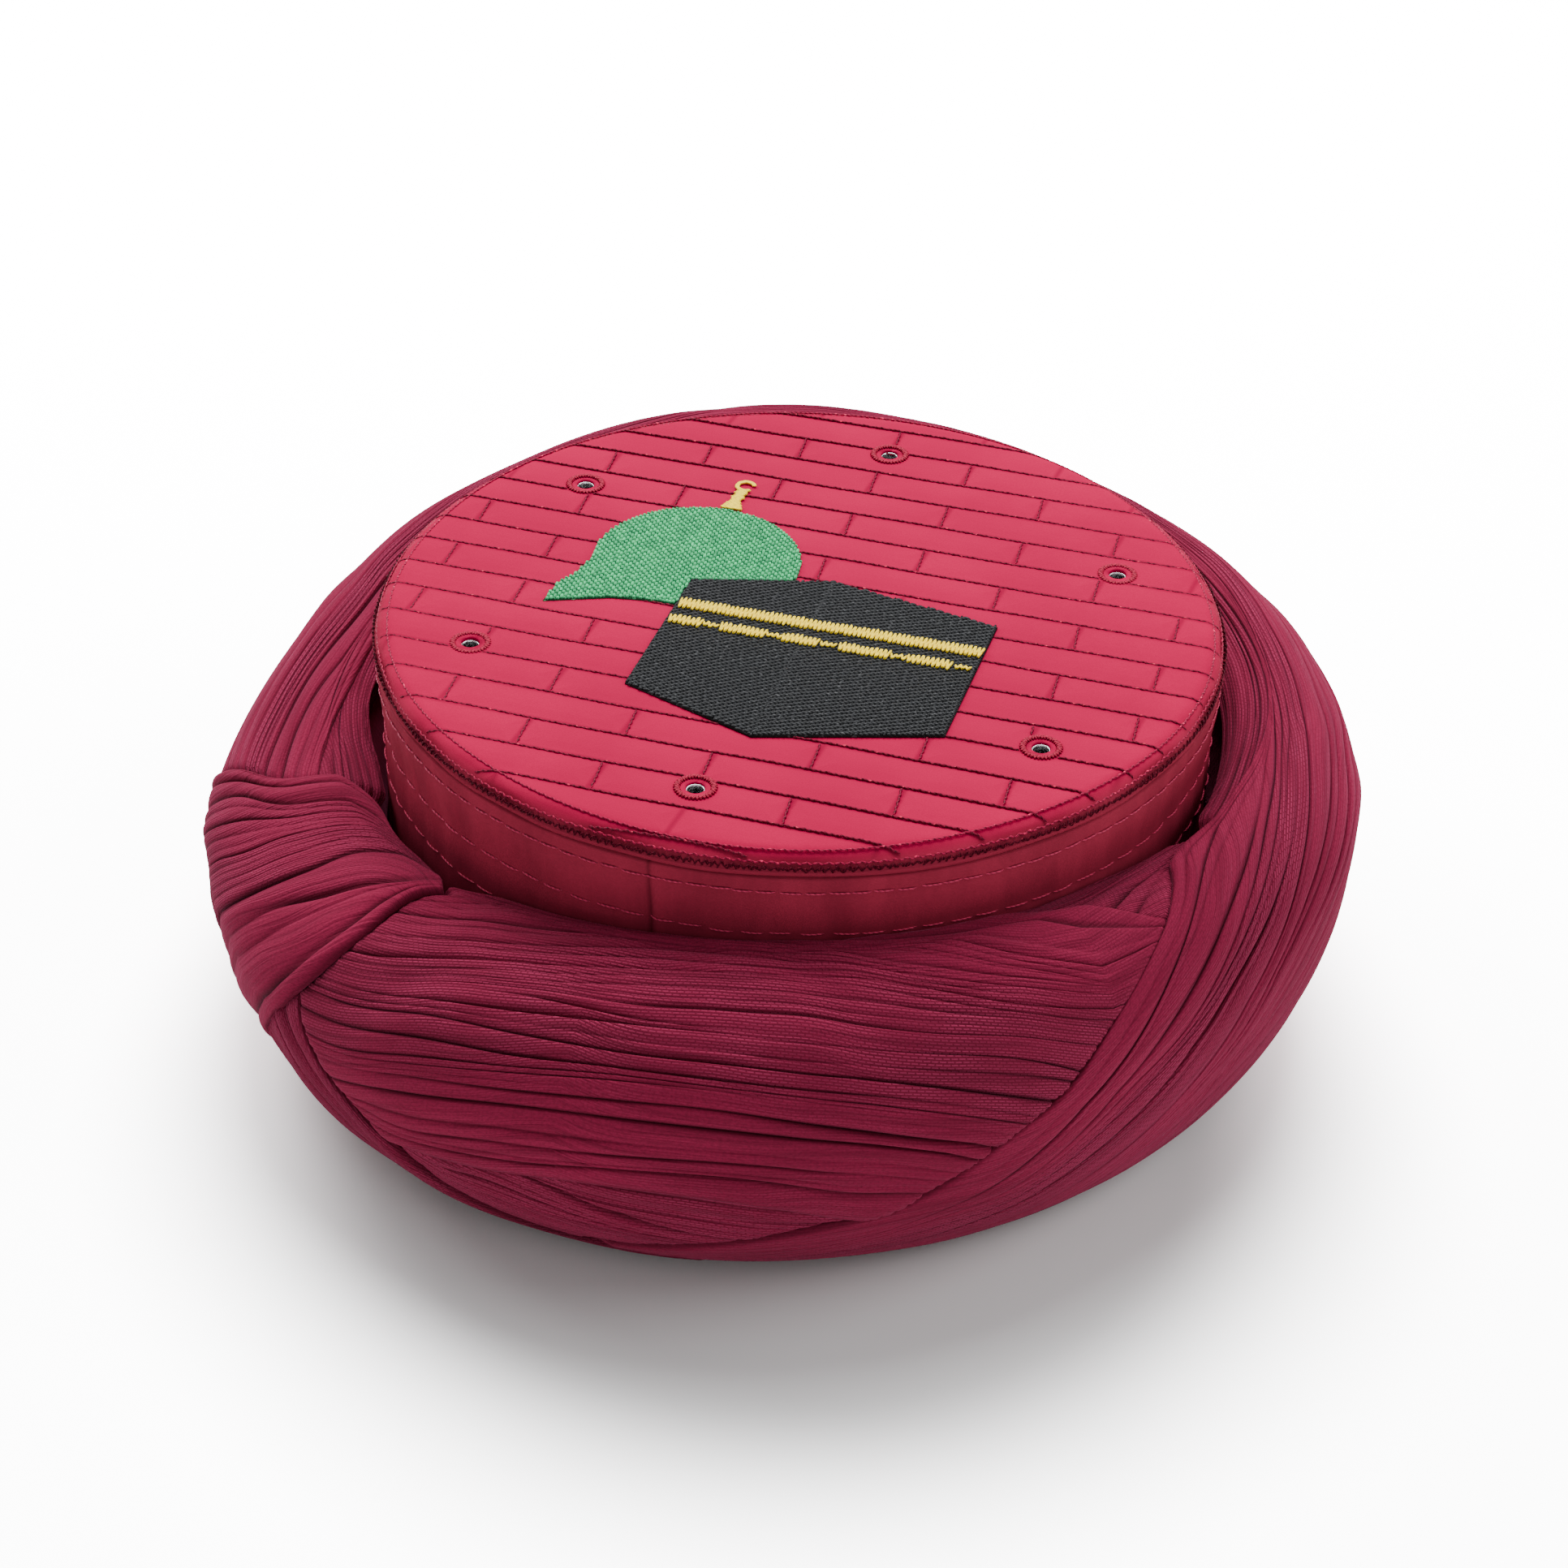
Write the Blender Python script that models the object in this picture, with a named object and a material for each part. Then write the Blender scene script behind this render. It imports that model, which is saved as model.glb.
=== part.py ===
"""A ready-wound turban: a stiff stitched cap with a length of pleated cloth wound round it.

The origin is on the floor under the middle of the cap's flat top, +Z is up and -Y is the front.
The wound cloth is a ring round the cap wall, and a place on it is given by two angles.
The bearing turns round the cap, from +X towards +Y.
The roll turns round the ring's own section: -90 on the floor, 0 at the widest point,
90 on the ridge and 180 where the cloth meets the wall.
A depth below the ring's face runs straight towards the middle of the section.
Turns are listed from the innermost to the outermost, and each is cut back under the later ones.
"""

import math

import bmesh
import bpy
import numpy as np

MM = 0.001
GAP = 0.3 * MM
LAYER_GAP = 0.4
SMOOTH_BELOW = math.radians(40)

# Cap
TOP_Z = 92 * MM
TOP_RADIUS = 90.5 * MM
TOP_THICKNESS = 2.5 * MM
TOP_SKIRT = 6 * MM
SHOULDER_RADIUS = 4 * MM
WALL_RADIUS = 89.5 * MM
WALL_THICKNESS = 2.5 * MM
ROUND_STEPS = 48

# Eyelets in the top
EYELET_COUNT = 6
EYELET_CIRCLE = 70.8 * MM
EYELET_BORE = 1.6 * MM
EYELET_TUBE = 2.0 * MM
EYELET_FLANGE = 3.4 * MM
EYELET_FLANGE_THICKNESS = 0.5 * MM
EYELET_SINK = 0.5 * MM
EYELET_STEPS = 8

# Raised stitching on the top
STITCH_HEIGHT = 0.6 * MM
MOTIF_CLEARANCE = 0.4
CUBE_OUTLINE = ((-25.5, 3), (4, 12), (42, 5.5), (42, -38), (5, -50.5), (-25.5, -40))
DOME_CENTRE = (-27, 11.5)
DOME_RADIUS = 22.7
DOME_ARC = (-5, 196)
DOME_STEPS = 20
DOME_FOOT = ((-50.3, -3), (-52.3, -7), (-52.8, -15), (-46, -12), (-39.5, -9.2), (-33, -7.9))
BELT_EDGES = ((-25, -5.7), (42, -4.6))
BELT_WIDTH = 3.6
BELT_DROP = 7.2
FINIAL_BASE_Y = 34.9
FINIAL_COLUMNS = ("height", "middle", "half_width")
FINIAL_ROWS = (
    (0.0, -26.8, 3.0),
    (1.6, -26.9, 1.5),
    (4.0, -26.9, 0.9),
    (5.2, -26.8, 1.4),
    (6.2, -26.7, 0.8),
    (7.2, -26.6, 1.5),
    (8.4, -26.6, 0.7),
)
CRESCENT_RADIUS = 2.4
CRESCENT_INNER_RADIUS = 1.5
CRESCENT_ARC = (-70, 245)
CRESCENT_STEPS = 12

# Section of the wound ring, in millimetres, a row for each bearing in degrees
RING_RADIUS = 90 * MM
RING_FOOT = 95
RING_COLUMNS = ("bearing", "widest", "widest_z", "ridge", "ridge_z", "edge_z")
RING_ROWS = (
    (-180, 126, 40, 103, 67, 56),
    (-150, 128, 44, 101, 62, 56),
    (-120, 128, 36, 96, 65, 61),
    (-90, 126, 36, 95, 71, 68),
    (-60, 120, 41, 96, 73, 71),
    (-30, 117, 43, 98, 73, 70),
    (0, 122, 54, 102, 74, 60),
    (30, 122, 49, 103, 76, 66),
    (60, 121, 52, 103, 77, 72),
    (90, 124, 52, 103, 82, 74),
    (120, 127, 51, 103, 82.5, 70),
    (150, 128, 48, 104, 75, 62),
)
MIDDLE_RADIUS = 106

# Depths below the ring's face, in millimetres
CORE_DEPTH = 7.6
FULL_DEPTH = 5.8
TUCK_DEPTH = 5.3
LAP_DEPTH = 3.4
FOLD_DEPTH = 1.7
EDGE_DEPTH = 0.7
CUTTER_LIFT = 8.0
CUTTER_REACH = 0.6
CUTTER_END_REACH = 1.6
SECTION_RADIUS = 26
EDGE_CARE = 2
FOLD_CREST = 0.3
FOLD_UNEVEN = 0.22
FOLD_BEAT = 2.4

# Underside of the wound ring
FLAT_RADIUS = 101 * MM
LIP_ROLL = -71
CORE_ROLLS = (-65, -42, -18, 4, 26, 48, 70, 92, 120, 150)
CORE_STEPS = 48
CORE_CORNER_DROP = 12 * MM

# Edges of the turns that run round the ring, a row for each bearing
TURN_COLUMNS = ("bearing", "low_roll", "high_roll")
OUTER_ROWS = (
    (-94, -60, -46),
    (-81, -61, -34),
    (-71, -61, -27),
    (-63, -61, -22),
    (-56, -61, -10),
    (-46, -61, 10),
    (-40, -61, 30),
    (-34, -61, 48),
    (-29, -61, 64),
    (-26, -61, 78),
    (-23, -61, 96),
    (-11, -61, 105),
    (12, -61, 97),
    (38, -61, 96),
    (62, -61, 86),
    (90, -61, 88),
    (150, -61, 96),
    (194, -61, 103),
    (201, -61, 91),
    (216, -61, 76),
)
FRONT_ROWS = (
    (-138, 0, 88),
    (-125, 6, 84),
    (-118, -10, 100),
    (-112, -12, 140),
    (-102, -5, 168),
    (-95, -2, 172),
    (-84, -5, 172),
    (-75, -12, 172),
    (-67, -24, 172),
    (-56, -34, 172),
    (-48, -42, 150),
    (-40, -48, 104),
    (-30, -54, 62),
    (-20, -57, 40),
)
INNER_ROWS = (
    (-14, 84, 128),
    (0, 86, 150),
    (17, 86, 152),
    (35, 86, 158),
    (60, 78, 168),
    (90, 80, 170),
    (150, 86, 166),
    (180, 90, 140),
    (192, 92, 132),
    (200, 84, 147),
    (206, 76, 165),
    (214, 70, 168),
)
LOWER_ROWS = (
    (-146, -58, -8),
    (-126, -58, 4),
    (-116, -58, -4),
    (-110, -58, -8),
    (-102, -58, -6),
    (-95, -58, -12),
    (-88, -58, -21),
    (-78, -58, -31),
    (-66, -58, -42),
)
MIDDLE_ROWS = (
    (-108, -20, 4),
    (-100, -20, 8),
    (-92, -28, 10),
    (-84, -34, 6),
    (-74, -42, -4),
    (-62, -50, -12),
)

# Edges of the pieces that cross the ring, a row for each step from the outside to the pinch
CROSS_COLUMNS = ("low_bearing", "low_roll", "high_bearing", "high_roll")
SIDE_ROWS = (
    (-142, -62.5, -172, -62.5),
    (-134, -22, -167, -30),
    (-129, 0, -163, 0),
    (-126, 20, -160, 22),
    (-124, 36, -156, 46),
    (-122.5, 54, -151, 68),
    (-121.5, 68, -149, 98),
    (-119, 78, -142, 122),
    (-116, 84, -127, 108),
)
CORNER_ROWS = (
    (-13, 92, -19, 136),
    (-19, 84, -27, 158),
    (-24, 72, -38, 172),
    (-28, 60, -52, 172),
    (-32, 50, -66, 168),
)

# Number of steps along each turn
TURN_STEP_COLUMNS = ("name", "rows", "steps")
LONG_TURNS = (
    ("middle_turn", MIDDLE_ROWS, 8),
    ("inner_turn", INNER_ROWS, 32),
    ("lower_turn", LOWER_ROWS, 13),
    ("front_turn", FRONT_ROWS, 19),
    ("outer_turn", OUTER_ROWS, 40),
)
CROSS_TURNS = (
    ("corner_tuck", CORNER_ROWS, 8),
    ("side_fold", SIDE_ROWS, 12),
)

# The turns from the innermost to the outermost, with the depth of each face and the later turns over it
LAYER_COLUMNS = ("name", "folds", "face", "covered_by")
LAYERS = (
    ("middle_turn", 4, 0.9, ("lower_turn", "front_turn", "outer_turn")),
    ("corner_tuck", 5, 0.9, ("inner_turn", "front_turn", "outer_turn")),
    ("inner_turn", 3, 0.6, ("outer_turn", "side_fold")),
    ("lower_turn", 5, 0.6, ("front_turn", "outer_turn", "side_fold")),
    ("front_turn", 11, 0.0, ("outer_turn", "side_fold")),
    ("outer_turn", 8, 0.0, ("side_fold",)),
    ("side_fold", 7, -1.4, ()),
)


def columns(names, rows):
    """Turns a short table into a dictionary of one array for each named column."""
    return dict(zip(names, np.array(rows, float).T))


def smooth(x, knots, values):
    """Values at x on a cubic curve through the knots, level beyond the last ones."""
    knots, values = np.asarray(knots, float), np.asarray(values, float)
    slopes = np.gradient(values, knots)
    k = np.clip(np.searchsorted(knots, x, side="right") - 1, 0, len(knots) - 2)
    step = knots[k + 1] - knots[k]
    t = np.clip((x - knots[k]) / step, 0, 1)
    start = values[k] * (1 + 2 * t) * (1 - t) ** 2 + slopes[k] * step * t * (1 - t) ** 2
    end = values[k + 1] * t**2 * (3 - 2 * t) + slopes[k + 1] * step * t**2 * (t - 1)
    return start + end


def ring_value(bearing, name):
    """A column of the ring's table at any bearing, going on round after the last row."""
    rows = columns(RING_COLUMNS, RING_ROWS)
    lap = np.concatenate([rows["bearing"] - 360, rows["bearing"], rows["bearing"] + 360])
    return smooth((bearing + 180) % 360 - 180, lap, np.tile(rows[name], 3))


def ring_point(bearing, roll, depth):
    """Points on the wound ring, in metres, at a depth in millimetres below its face."""
    bearing, roll, depth = np.broadcast_arrays(bearing, roll, depth)
    widest, widest_z, ridge, ridge_z, edge_z = (
        ring_value(bearing, name) for name in RING_COLUMNS[1:]
    )
    turn = np.radians(roll)
    foot = np.where(roll < 0, RING_FOOT, ridge)
    outer_r = foot + (widest - foot) * np.cos(turn)
    outer_z = widest_z + np.where(roll < 0, widest_z, ridge_z - widest_z) * np.sin(turn)
    inner_r = ridge - (ridge - RING_RADIUS / MM) * np.sin(turn - math.pi / 2)
    inner_z = edge_z + (ridge_z - edge_z) * np.cos(turn - math.pi / 2)
    r = np.where(roll > 90, inner_r, outer_r)
    z = np.where(roll > 90, inner_z, outer_z)
    reach = np.hypot(MIDDLE_RADIUS - r, widest_z - z)
    r = r + (MIDDLE_RADIUS - r) * depth / reach
    z = z + (widest_z - z) * depth / reach
    angle = np.radians(bearing)
    return np.stack([r * np.cos(angle), r * np.sin(angle), z], axis=-1) * MM


def fold_places(folds):
    """Places across a turn, from 0 to 1, of each fold's valley and crest, and how deep each lies."""
    number = np.arange(folds)
    sway = np.sin(FOLD_BEAT * number)
    valleys = (number + FOLD_UNEVEN * sway) / folds
    valleys[0] = 0
    crests = valleys + FOLD_CREST / folds
    places = np.append(np.stack([valleys, crests], axis=1).ravel(), 1.0)
    share = np.append(np.stack([1 - FOLD_UNEVEN * (1 + sway), 0 * sway], axis=1).ravel(), 0.0)
    return places, share


def loft(outer, inner, closed=False):
    """A solid between two grids of points, where every second outer point faces an inner one.

    The outer grid may have one more column on each side, which lies on the side faces.
    """
    count, wide = outer.shape[:2]
    narrow = inner.shape[1]
    loop = wide + narrow
    points = np.concatenate([outer, inner[:, ::-1]], axis=1).reshape(-1, 3)
    last = count if closed else count - 1
    start = np.arange(last)[:, None] * loop
    after = (np.arange(last)[:, None] + 1) % count * loop
    here, there = np.arange(loop), (np.arange(loop) + 1) % loop
    first = np.stack([start + here, start + there, after + there], axis=-1).reshape(-1, 3)
    second = np.stack([start + here, after + there, after + here], axis=-1).reshape(-1, 3)
    faces = np.concatenate([first, second]).tolist()
    if not closed:
        rim = (wide - 2 * narrow + 1) // 2
        ends = [(rim + 2 * narrow - 2, wide, rim + 2 * narrow - 1), (0, loop - 1, 1)] if rim else []
        for k in range(narrow - 1):
            a, b, c = rim + 2 * k, rim + 2 * k + 1, rim + 2 * k + 2
            d, e = loop - 1 - k, loop - 2 - k
            ends += [(a, d, b), (b, d, e), (b, e, c)]
        faces += ends + [tuple((count - 1) * loop + v for v in reversed(end)) for end in ends]
    return points, faces


def material_of(name, colour, roughness, metallic=0.0):
    material = bpy.data.materials.get(name) or bpy.data.materials.new(name)
    material.use_nodes = True
    shader = material.node_tree.nodes["Principled BSDF"]
    shader.inputs["Base Color"].default_value = (*colour, 1.0)
    shader.inputs["Roughness"].default_value = roughness
    shader.inputs["Metallic"].default_value = metallic
    return material


def object_of(name, shape, material=None):
    """An object from a working shape, with its faces pointing out and its gentle edges smooth."""
    bmesh.ops.recalc_face_normals(shape, faces=shape.faces)
    mesh = bpy.data.meshes.new(name)
    shape.to_mesh(mesh)
    shape.free()
    mesh.shade_smooth()
    mesh.set_sharp_from_angle(angle=SMOOTH_BELOW)
    if material:
        mesh.materials.append(material)
    obj = bpy.data.objects.new(name, mesh)
    bpy.context.scene.collection.objects.link(obj)
    return obj


def make_object(name, points, faces, material):
    """An object from an array of points and a list of faces."""
    mesh = bpy.data.meshes.new(name + " draft")
    mesh.from_pydata(np.asarray(points).tolist(), [], faces)
    shape = bmesh.new()
    shape.from_mesh(mesh)
    bpy.data.meshes.remove(mesh)
    return object_of(name, shape, material)


def cut(obj, cutters):
    """Cuts a group of shapes away at once and keeps them as hidden guides."""
    group = bpy.data.collections.new(obj.name + " cutters")
    for cutter in cutters:
        cutter.hide_render = True
        cutter.display_type = "WIRE"
        group.objects.link(cutter)
    modifier = obj.modifiers.new("Cut", "BOOLEAN")
    modifier.operation = "DIFFERENCE"
    modifier.solver = "EXACT"
    modifier.operand_type = "COLLECTION"
    modifier.collection = group


def turned(name, profile, steps, material, centre=(0.0, 0.0)):
    """A round solid from a closed profile of radius and height, turned about an upright axis."""
    angle = np.arange(steps) * 2 * math.pi / steps
    radius, height = np.array(profile).T
    points = np.stack(
        [
            centre[0] + radius * np.cos(angle)[:, None],
            centre[1] + radius * np.sin(angle)[:, None],
            height + 0 * angle[:, None],
        ],
        axis=-1,
    )
    around, along = np.meshgrid(np.arange(steps), np.arange(len(profile)), indexing="ij")
    next_around, next_along = (around + 1) % steps, (along + 1) % len(profile)
    corners = [(around, along), (next_around, along), (next_around, next_along), (around, next_along)]
    faces = np.stack([a * len(profile) + b for a, b in corners], axis=-1).reshape(-1, 4).tolist()
    return make_object(name, points.reshape(-1, 3), faces, material)


def plate(name, outline, bottom, height, material):
    """A flat plate with a closed outline given in millimetres."""
    shape = bmesh.new()
    corners = [shape.verts.new((x * MM, y * MM, bottom)) for x, y in outline]
    face = shape.faces.new(corners)
    grown = bmesh.ops.extrude_face_region(shape, geom=[face])
    moved = [item for item in grown["geom"] if isinstance(item, bmesh.types.BMVert)]
    bmesh.ops.translate(shape, vec=(0, 0, height), verts=moved)
    return object_of(name, shape, material)


def arc(centre, radius, start, end, steps):
    angle = np.radians(np.linspace(start, end, steps + 1))
    return [(centre[0] + radius * math.cos(a), centre[1] + radius * math.sin(a)) for a in angle]


def eyelet_centres():
    angle = np.radians(90 + np.arange(EYELET_COUNT) * 360 / EYELET_COUNT)
    return np.stack([EYELET_CIRCLE * np.cos(angle), EYELET_CIRCLE * np.sin(angle)], axis=1)


def make_cap_top(material):
    """The flat top with its rounded shoulder and turned-down skirt, and a hole for each eyelet."""
    flat = TOP_RADIUS - SHOULDER_RADIUS
    shoulder = arc((flat / MM, (TOP_Z - SHOULDER_RADIUS) / MM), SHOULDER_RADIUS / MM, 90, 0, 4)
    outer = [(radius * MM, height * MM) for radius, height in shoulder]
    inside = TOP_RADIUS - TOP_THICKNESS
    lower = [
        (TOP_RADIUS, TOP_Z - TOP_SKIRT),
        (inside, TOP_Z - TOP_SKIRT),
        (inside, TOP_Z - TOP_THICKNESS - 1.5 * MM),
        (inside - 1.5 * MM, TOP_Z - TOP_THICKNESS),
    ]
    top = disc("cap_top", outer + lower, material)
    low, high = TOP_Z - 2 * TOP_THICKNESS, TOP_Z + TOP_THICKNESS
    holes = [
        prism(f"eyelet_hole_{number}", EYELET_TUBE + GAP, EYELET_STEPS, low, high, centre)
        for number, centre in enumerate(eyelet_centres(), 1)
    ]
    cut(top, holes)
    return top


def disc(name, profile, material):
    """A round solid whose profile runs from its flat top face to its flat underside."""
    shape = bmesh.new()
    angle = np.arange(ROUND_STEPS) * 2 * math.pi / ROUND_STEPS
    rings = []
    for radius, height in profile:
        around = zip(radius * np.cos(angle), radius * np.sin(angle))
        rings.append([shape.verts.new((x, y, height)) for x, y in around])
    for upper, lower in zip(rings, rings[1:]):
        for k in range(ROUND_STEPS):
            after = (k + 1) % ROUND_STEPS
            shape.faces.new((upper[k], lower[k], lower[after], upper[after]))
    shape.faces.new(rings[0])
    shape.faces.new(rings[-1])
    return object_of(name, shape, material)


def prism(name, radius, steps, low, high, centre):
    """An upright round prism used as a cutter."""
    shape = bmesh.new()
    bmesh.ops.create_cone(
        shape, cap_ends=True, segments=steps, radius1=radius, radius2=radius, depth=high - low
    )
    bmesh.ops.translate(shape, vec=(*centre, (low + high) / 2), verts=shape.verts)
    return object_of(name, shape)


def make_cap_wall(material):
    """The upright wall, which stands on the floor and stops short of the top's skirt."""
    inside = WALL_RADIUS - WALL_THICKNESS
    high = TOP_Z - TOP_SKIRT - GAP
    profile = [(WALL_RADIUS, high), (WALL_RADIUS, 0), (inside, 0), (inside, high)]
    return turned("cap_wall", profile, ROUND_STEPS, material)


def make_eyelets(material):
    """Small tubes through the top, each with a flange under it."""
    under = TOP_Z - TOP_THICKNESS - GAP
    foot = under - EYELET_FLANGE_THICKNESS
    profile = [
        (EYELET_TUBE, TOP_Z - EYELET_SINK),
        (EYELET_TUBE, under),
        (EYELET_FLANGE, under),
        (EYELET_FLANGE, foot),
        (EYELET_BORE, foot),
        (EYELET_BORE, TOP_Z - EYELET_SINK),
    ]
    for number, centre in enumerate(eyelet_centres(), 1):
        turned(f"eyelet_{number}", profile, EYELET_STEPS, material, centre)


def make_embroidery(green, black, gold):
    """The raised motif: a domed roof with a finial, and a cube with a belt of two strips."""
    seat = TOP_Z + GAP
    plate("cube_embroidery", CUBE_OUTLINE, seat, STITCH_HEIGHT, black)

    (corner_x, corner_y), (peak_x, peak_y) = CUBE_OUTLINE[:2]
    left = corner_x - MOTIF_CLEARANCE
    slope = (peak_y - corner_y) / (peak_x - corner_x)

    def above_cube(x):
        return corner_y + slope * (x - corner_x) + MOTIF_CLEARANCE

    dome = arc(DOME_CENTRE, DOME_RADIUS, *DOME_ARC, DOME_STEPS) + list(DOME_FOOT)
    start_x = dome[0][0]
    behind = [
        (left, DOME_FOOT[-1][1] + 0.5),
        (left, corner_y + MOTIF_CLEARANCE),
        (start_x, above_cube(start_x)),
    ]
    dome = [(x, y) for x, y in dome if x < left or y > above_cube(x)]
    plate("dome_embroidery", dome + behind, seat, STITCH_HEIGHT, green)

    rows = columns(FINIAL_COLUMNS, FINIAL_ROWS)
    height = FINIAL_BASE_Y + rows["height"]
    left_side = list(zip(rows["middle"] - rows["half_width"], height))
    right_side = list(zip(rows["middle"] + rows["half_width"], height))
    centre = (rows["middle"][-1], height[-1] + CRESCENT_RADIUS)
    outside = arc(centre, CRESCENT_RADIUS, CRESCENT_ARC[1], 30, CRESCENT_STEPS)
    inside = arc(centre, CRESCENT_INNER_RADIUS, 30, CRESCENT_ARC[1] + 30, CRESCENT_STEPS)
    under = [(centre[0] + 0.6, centre[1] - CRESCENT_INNER_RADIUS)]
    outline = left_side + outside + inside + under + right_side[::-1]
    plate("finial_embroidery", outline, seat, STITCH_HEIGHT, gold)

    (start, start_y), (end, end_y) = BELT_EDGES
    for name, drop in (("belt_upper_embroidery", 0), ("belt_lower_embroidery", BELT_DROP)):
        high = ((start + MOTIF_CLEARANCE, start_y - drop), (end - MOTIF_CLEARANCE, end_y - drop))
        low = tuple((x, y - BELT_WIDTH) for x, y in reversed(high))
        plate(name, high + low, seat + STITCH_HEIGHT + GAP, STITCH_HEIGHT, gold)


def make_under_layers(material):
    """The inner layers: a closed ring that lies flat on the floor and shows only below the turns."""
    bearing = np.linspace(-180, 180, CORE_STEPS, endpoint=False)[:, None]
    angle = np.radians(bearing)

    def corner(radius, height):
        z = height + 0 * angle
        return np.stack([radius * np.cos(angle), radius * np.sin(angle), z], axis=-1)

    top = (ring_value(bearing, "edge_z") * MM) - CORE_CORNER_DROP
    rolls = np.array(CORE_ROLLS, float)[None, :]
    body = ring_point(bearing, rolls, CORE_DEPTH)
    lip = ring_point(bearing, np.array([[LIP_ROLL]], float), 0)
    floor = [corner(RING_RADIUS, 0 * top), corner(FLAT_RADIUS, 0 * top)]
    outer = np.concatenate([*floor, lip, body], axis=1)
    inner = corner(RING_RADIUS, top)
    points, faces = loft(outer, inner, closed=True)
    return make_object("under_layers", points, faces, material)


def long_edges(rows, steps):
    """Low and high edges of a turn that runs round the ring."""
    table = columns(TURN_COLUMNS, rows)
    bearing = np.linspace(table["bearing"][0], table["bearing"][-1], 1000)
    edges = [smooth(bearing, table["bearing"], table[name]) for name in TURN_COLUMNS[1:]]
    paces = [surface_length(np.diff(bearing), EDGE_CARE * np.diff(edge)) for edge in edges]
    gone = np.append(0, np.cumsum(np.maximum(*paces)))
    places = np.linspace(0, gone[-1], steps + 1)
    bearing, low, high = (np.interp(places, gone, values) for values in (bearing, *edges))
    return bearing, low, bearing, high


def cross_edges(rows, steps):
    """Low and high edges of a piece that crosses the ring."""
    table = columns(CROSS_COLUMNS, rows)
    knots = np.arange(len(rows))
    along = np.linspace(0, knots[-1], steps + 1)
    return tuple(smooth(along, knots, table[name]) for name in CROSS_COLUMNS)


def surface_length(bearing_step, roll_step):
    """Rough length in millimetres of a step on the ring's face."""
    return np.radians(np.hypot(bearing_step * MIDDLE_RADIUS, roll_step * SECTION_RADIUS))


def grown(edges):
    """The edges moved apart, with one more section beyond each end, by the reach of a cutter."""
    low, high = np.stack(edges[:2]), np.stack(edges[2:])
    across = (high - low) * CUTTER_REACH / surface_length(*(high - low))
    wide = np.concatenate([low - across, high + across])
    steps = np.stack([wide[:, 0] - wide[:, 1], wide[:, -1] - wide[:, -2]])
    low_length, high_length = surface_length(*steps[:, :2].T), surface_length(*steps[:, 2:].T)
    before, after = steps * (CUTTER_END_REACH / np.maximum(low_length, high_length))[:, None]
    return tuple(np.concatenate([[wide[:, 0] + before], wide.T, [wide[:, -1] + after]]).T)


def turn_solid(name, edges, folds, face, back, material):
    """A pleated turn between two edges, from its face down to its back."""
    places, share = fold_places(folds)
    depth = face + FOLD_DEPTH * share
    depth[[0, -1]] = face + EDGE_DEPTH
    return layer(name, edges, places, depth, back, material)


def turn_room(name, edges, folds, back):
    """The room that a turn takes from those under it, open to the outside."""
    places, share = fold_places(folds)

    def room_back(bearing, place):
        return back(bearing, place) + LAYER_GAP

    depth = -CUTTER_LIFT + 0 * share
    return layer(name + "_room", grown(edges), places, depth, room_back, None, rim=EDGE_DEPTH)


def layer(name, edges, places, depth, back, material, rim=None):
    """A solid that follows the ring between two edges, from an outer depth to its back."""
    low_bearing, low_roll, high_bearing, high_roll = (e[:, None] for e in edges)

    def across(place):
        bearing = low_bearing + (high_bearing - low_bearing) * place
        return bearing, low_roll + (high_roll - low_roll) * place

    inner_places = places[::2]
    inner = ring_point(*across(inner_places), back(low_bearing, inner_places))
    if rim is not None:
        places = np.concatenate([[0], places, [1]])
        depth = np.concatenate([[rim], depth, [rim]])
    outer = ring_point(*across(places), depth)
    points, faces = loft(outer, inner)
    return make_object(name, points, faces, material)


def even_back(depth):
    """A back that lies at one depth all over."""
    return lambda bearing, place: depth + 0 * bearing * place


def thinned(share):
    """Depth of a back that rises from the full depth, where the share is 0, to a lap, where it is 1."""
    return FULL_DEPTH + (LAP_DEPTH - FULL_DEPTH) * share


def outer_back(bearing, place):
    """The outer turn is thin in front of the corner, where it laps over the front turn."""
    return thinned(np.clip((-4 - bearing) / 14, 0, 1) + 0 * place)


def lower_back(bearing, place):
    """The lower turn is thin along its high edge, which lies under the front turn."""
    return thinned(np.clip(place * 5 - 3, 0, 1) + 0 * bearing)


def front_back(bearing, place):
    """The front turn is thin along both edges, where it laps over the turns beside it."""
    low = np.clip(1.1 - place * 5, 0, 1) * np.clip((-58 - bearing) / 8, 0, 1)
    high = np.clip(place * 5 - 3.9, 0, 1) * np.clip((-30 - bearing) / 3, 0, 1)
    return thinned(np.maximum(low, high))


def make_turns(cloth):
    """The turns from the innermost to the outermost, each cut back under those that lie over it."""
    edges = {name: long_edges(rows, steps) for name, rows, steps in LONG_TURNS}
    edges |= {name: cross_edges(rows, steps) for name, rows, steps in CROSS_TURNS}
    backs = {
        "corner_tuck": even_back(TUCK_DEPTH),
        "lower_turn": lower_back,
        "front_turn": front_back,
        "outer_turn": outer_back,
        "side_fold": even_back(LAP_DEPTH),
    }
    covers = {other for *_, others in LAYERS for other in others}
    solids, cutters = {}, {}
    for name, folds, face, _ in LAYERS:
        back = backs.get(name, even_back(FULL_DEPTH))
        material = material_of(name.replace("_", " ") + " cloth", cloth, 0.8)
        solids[name] = turn_solid(name, edges[name], folds, face, back, material)
        if name in covers:
            cutters[name] = turn_room(name, edges[name], folds, back)
    for name, *_, others in LAYERS:
        if others:
            cut(solids[name], [cutters[other] for other in others])


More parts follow.
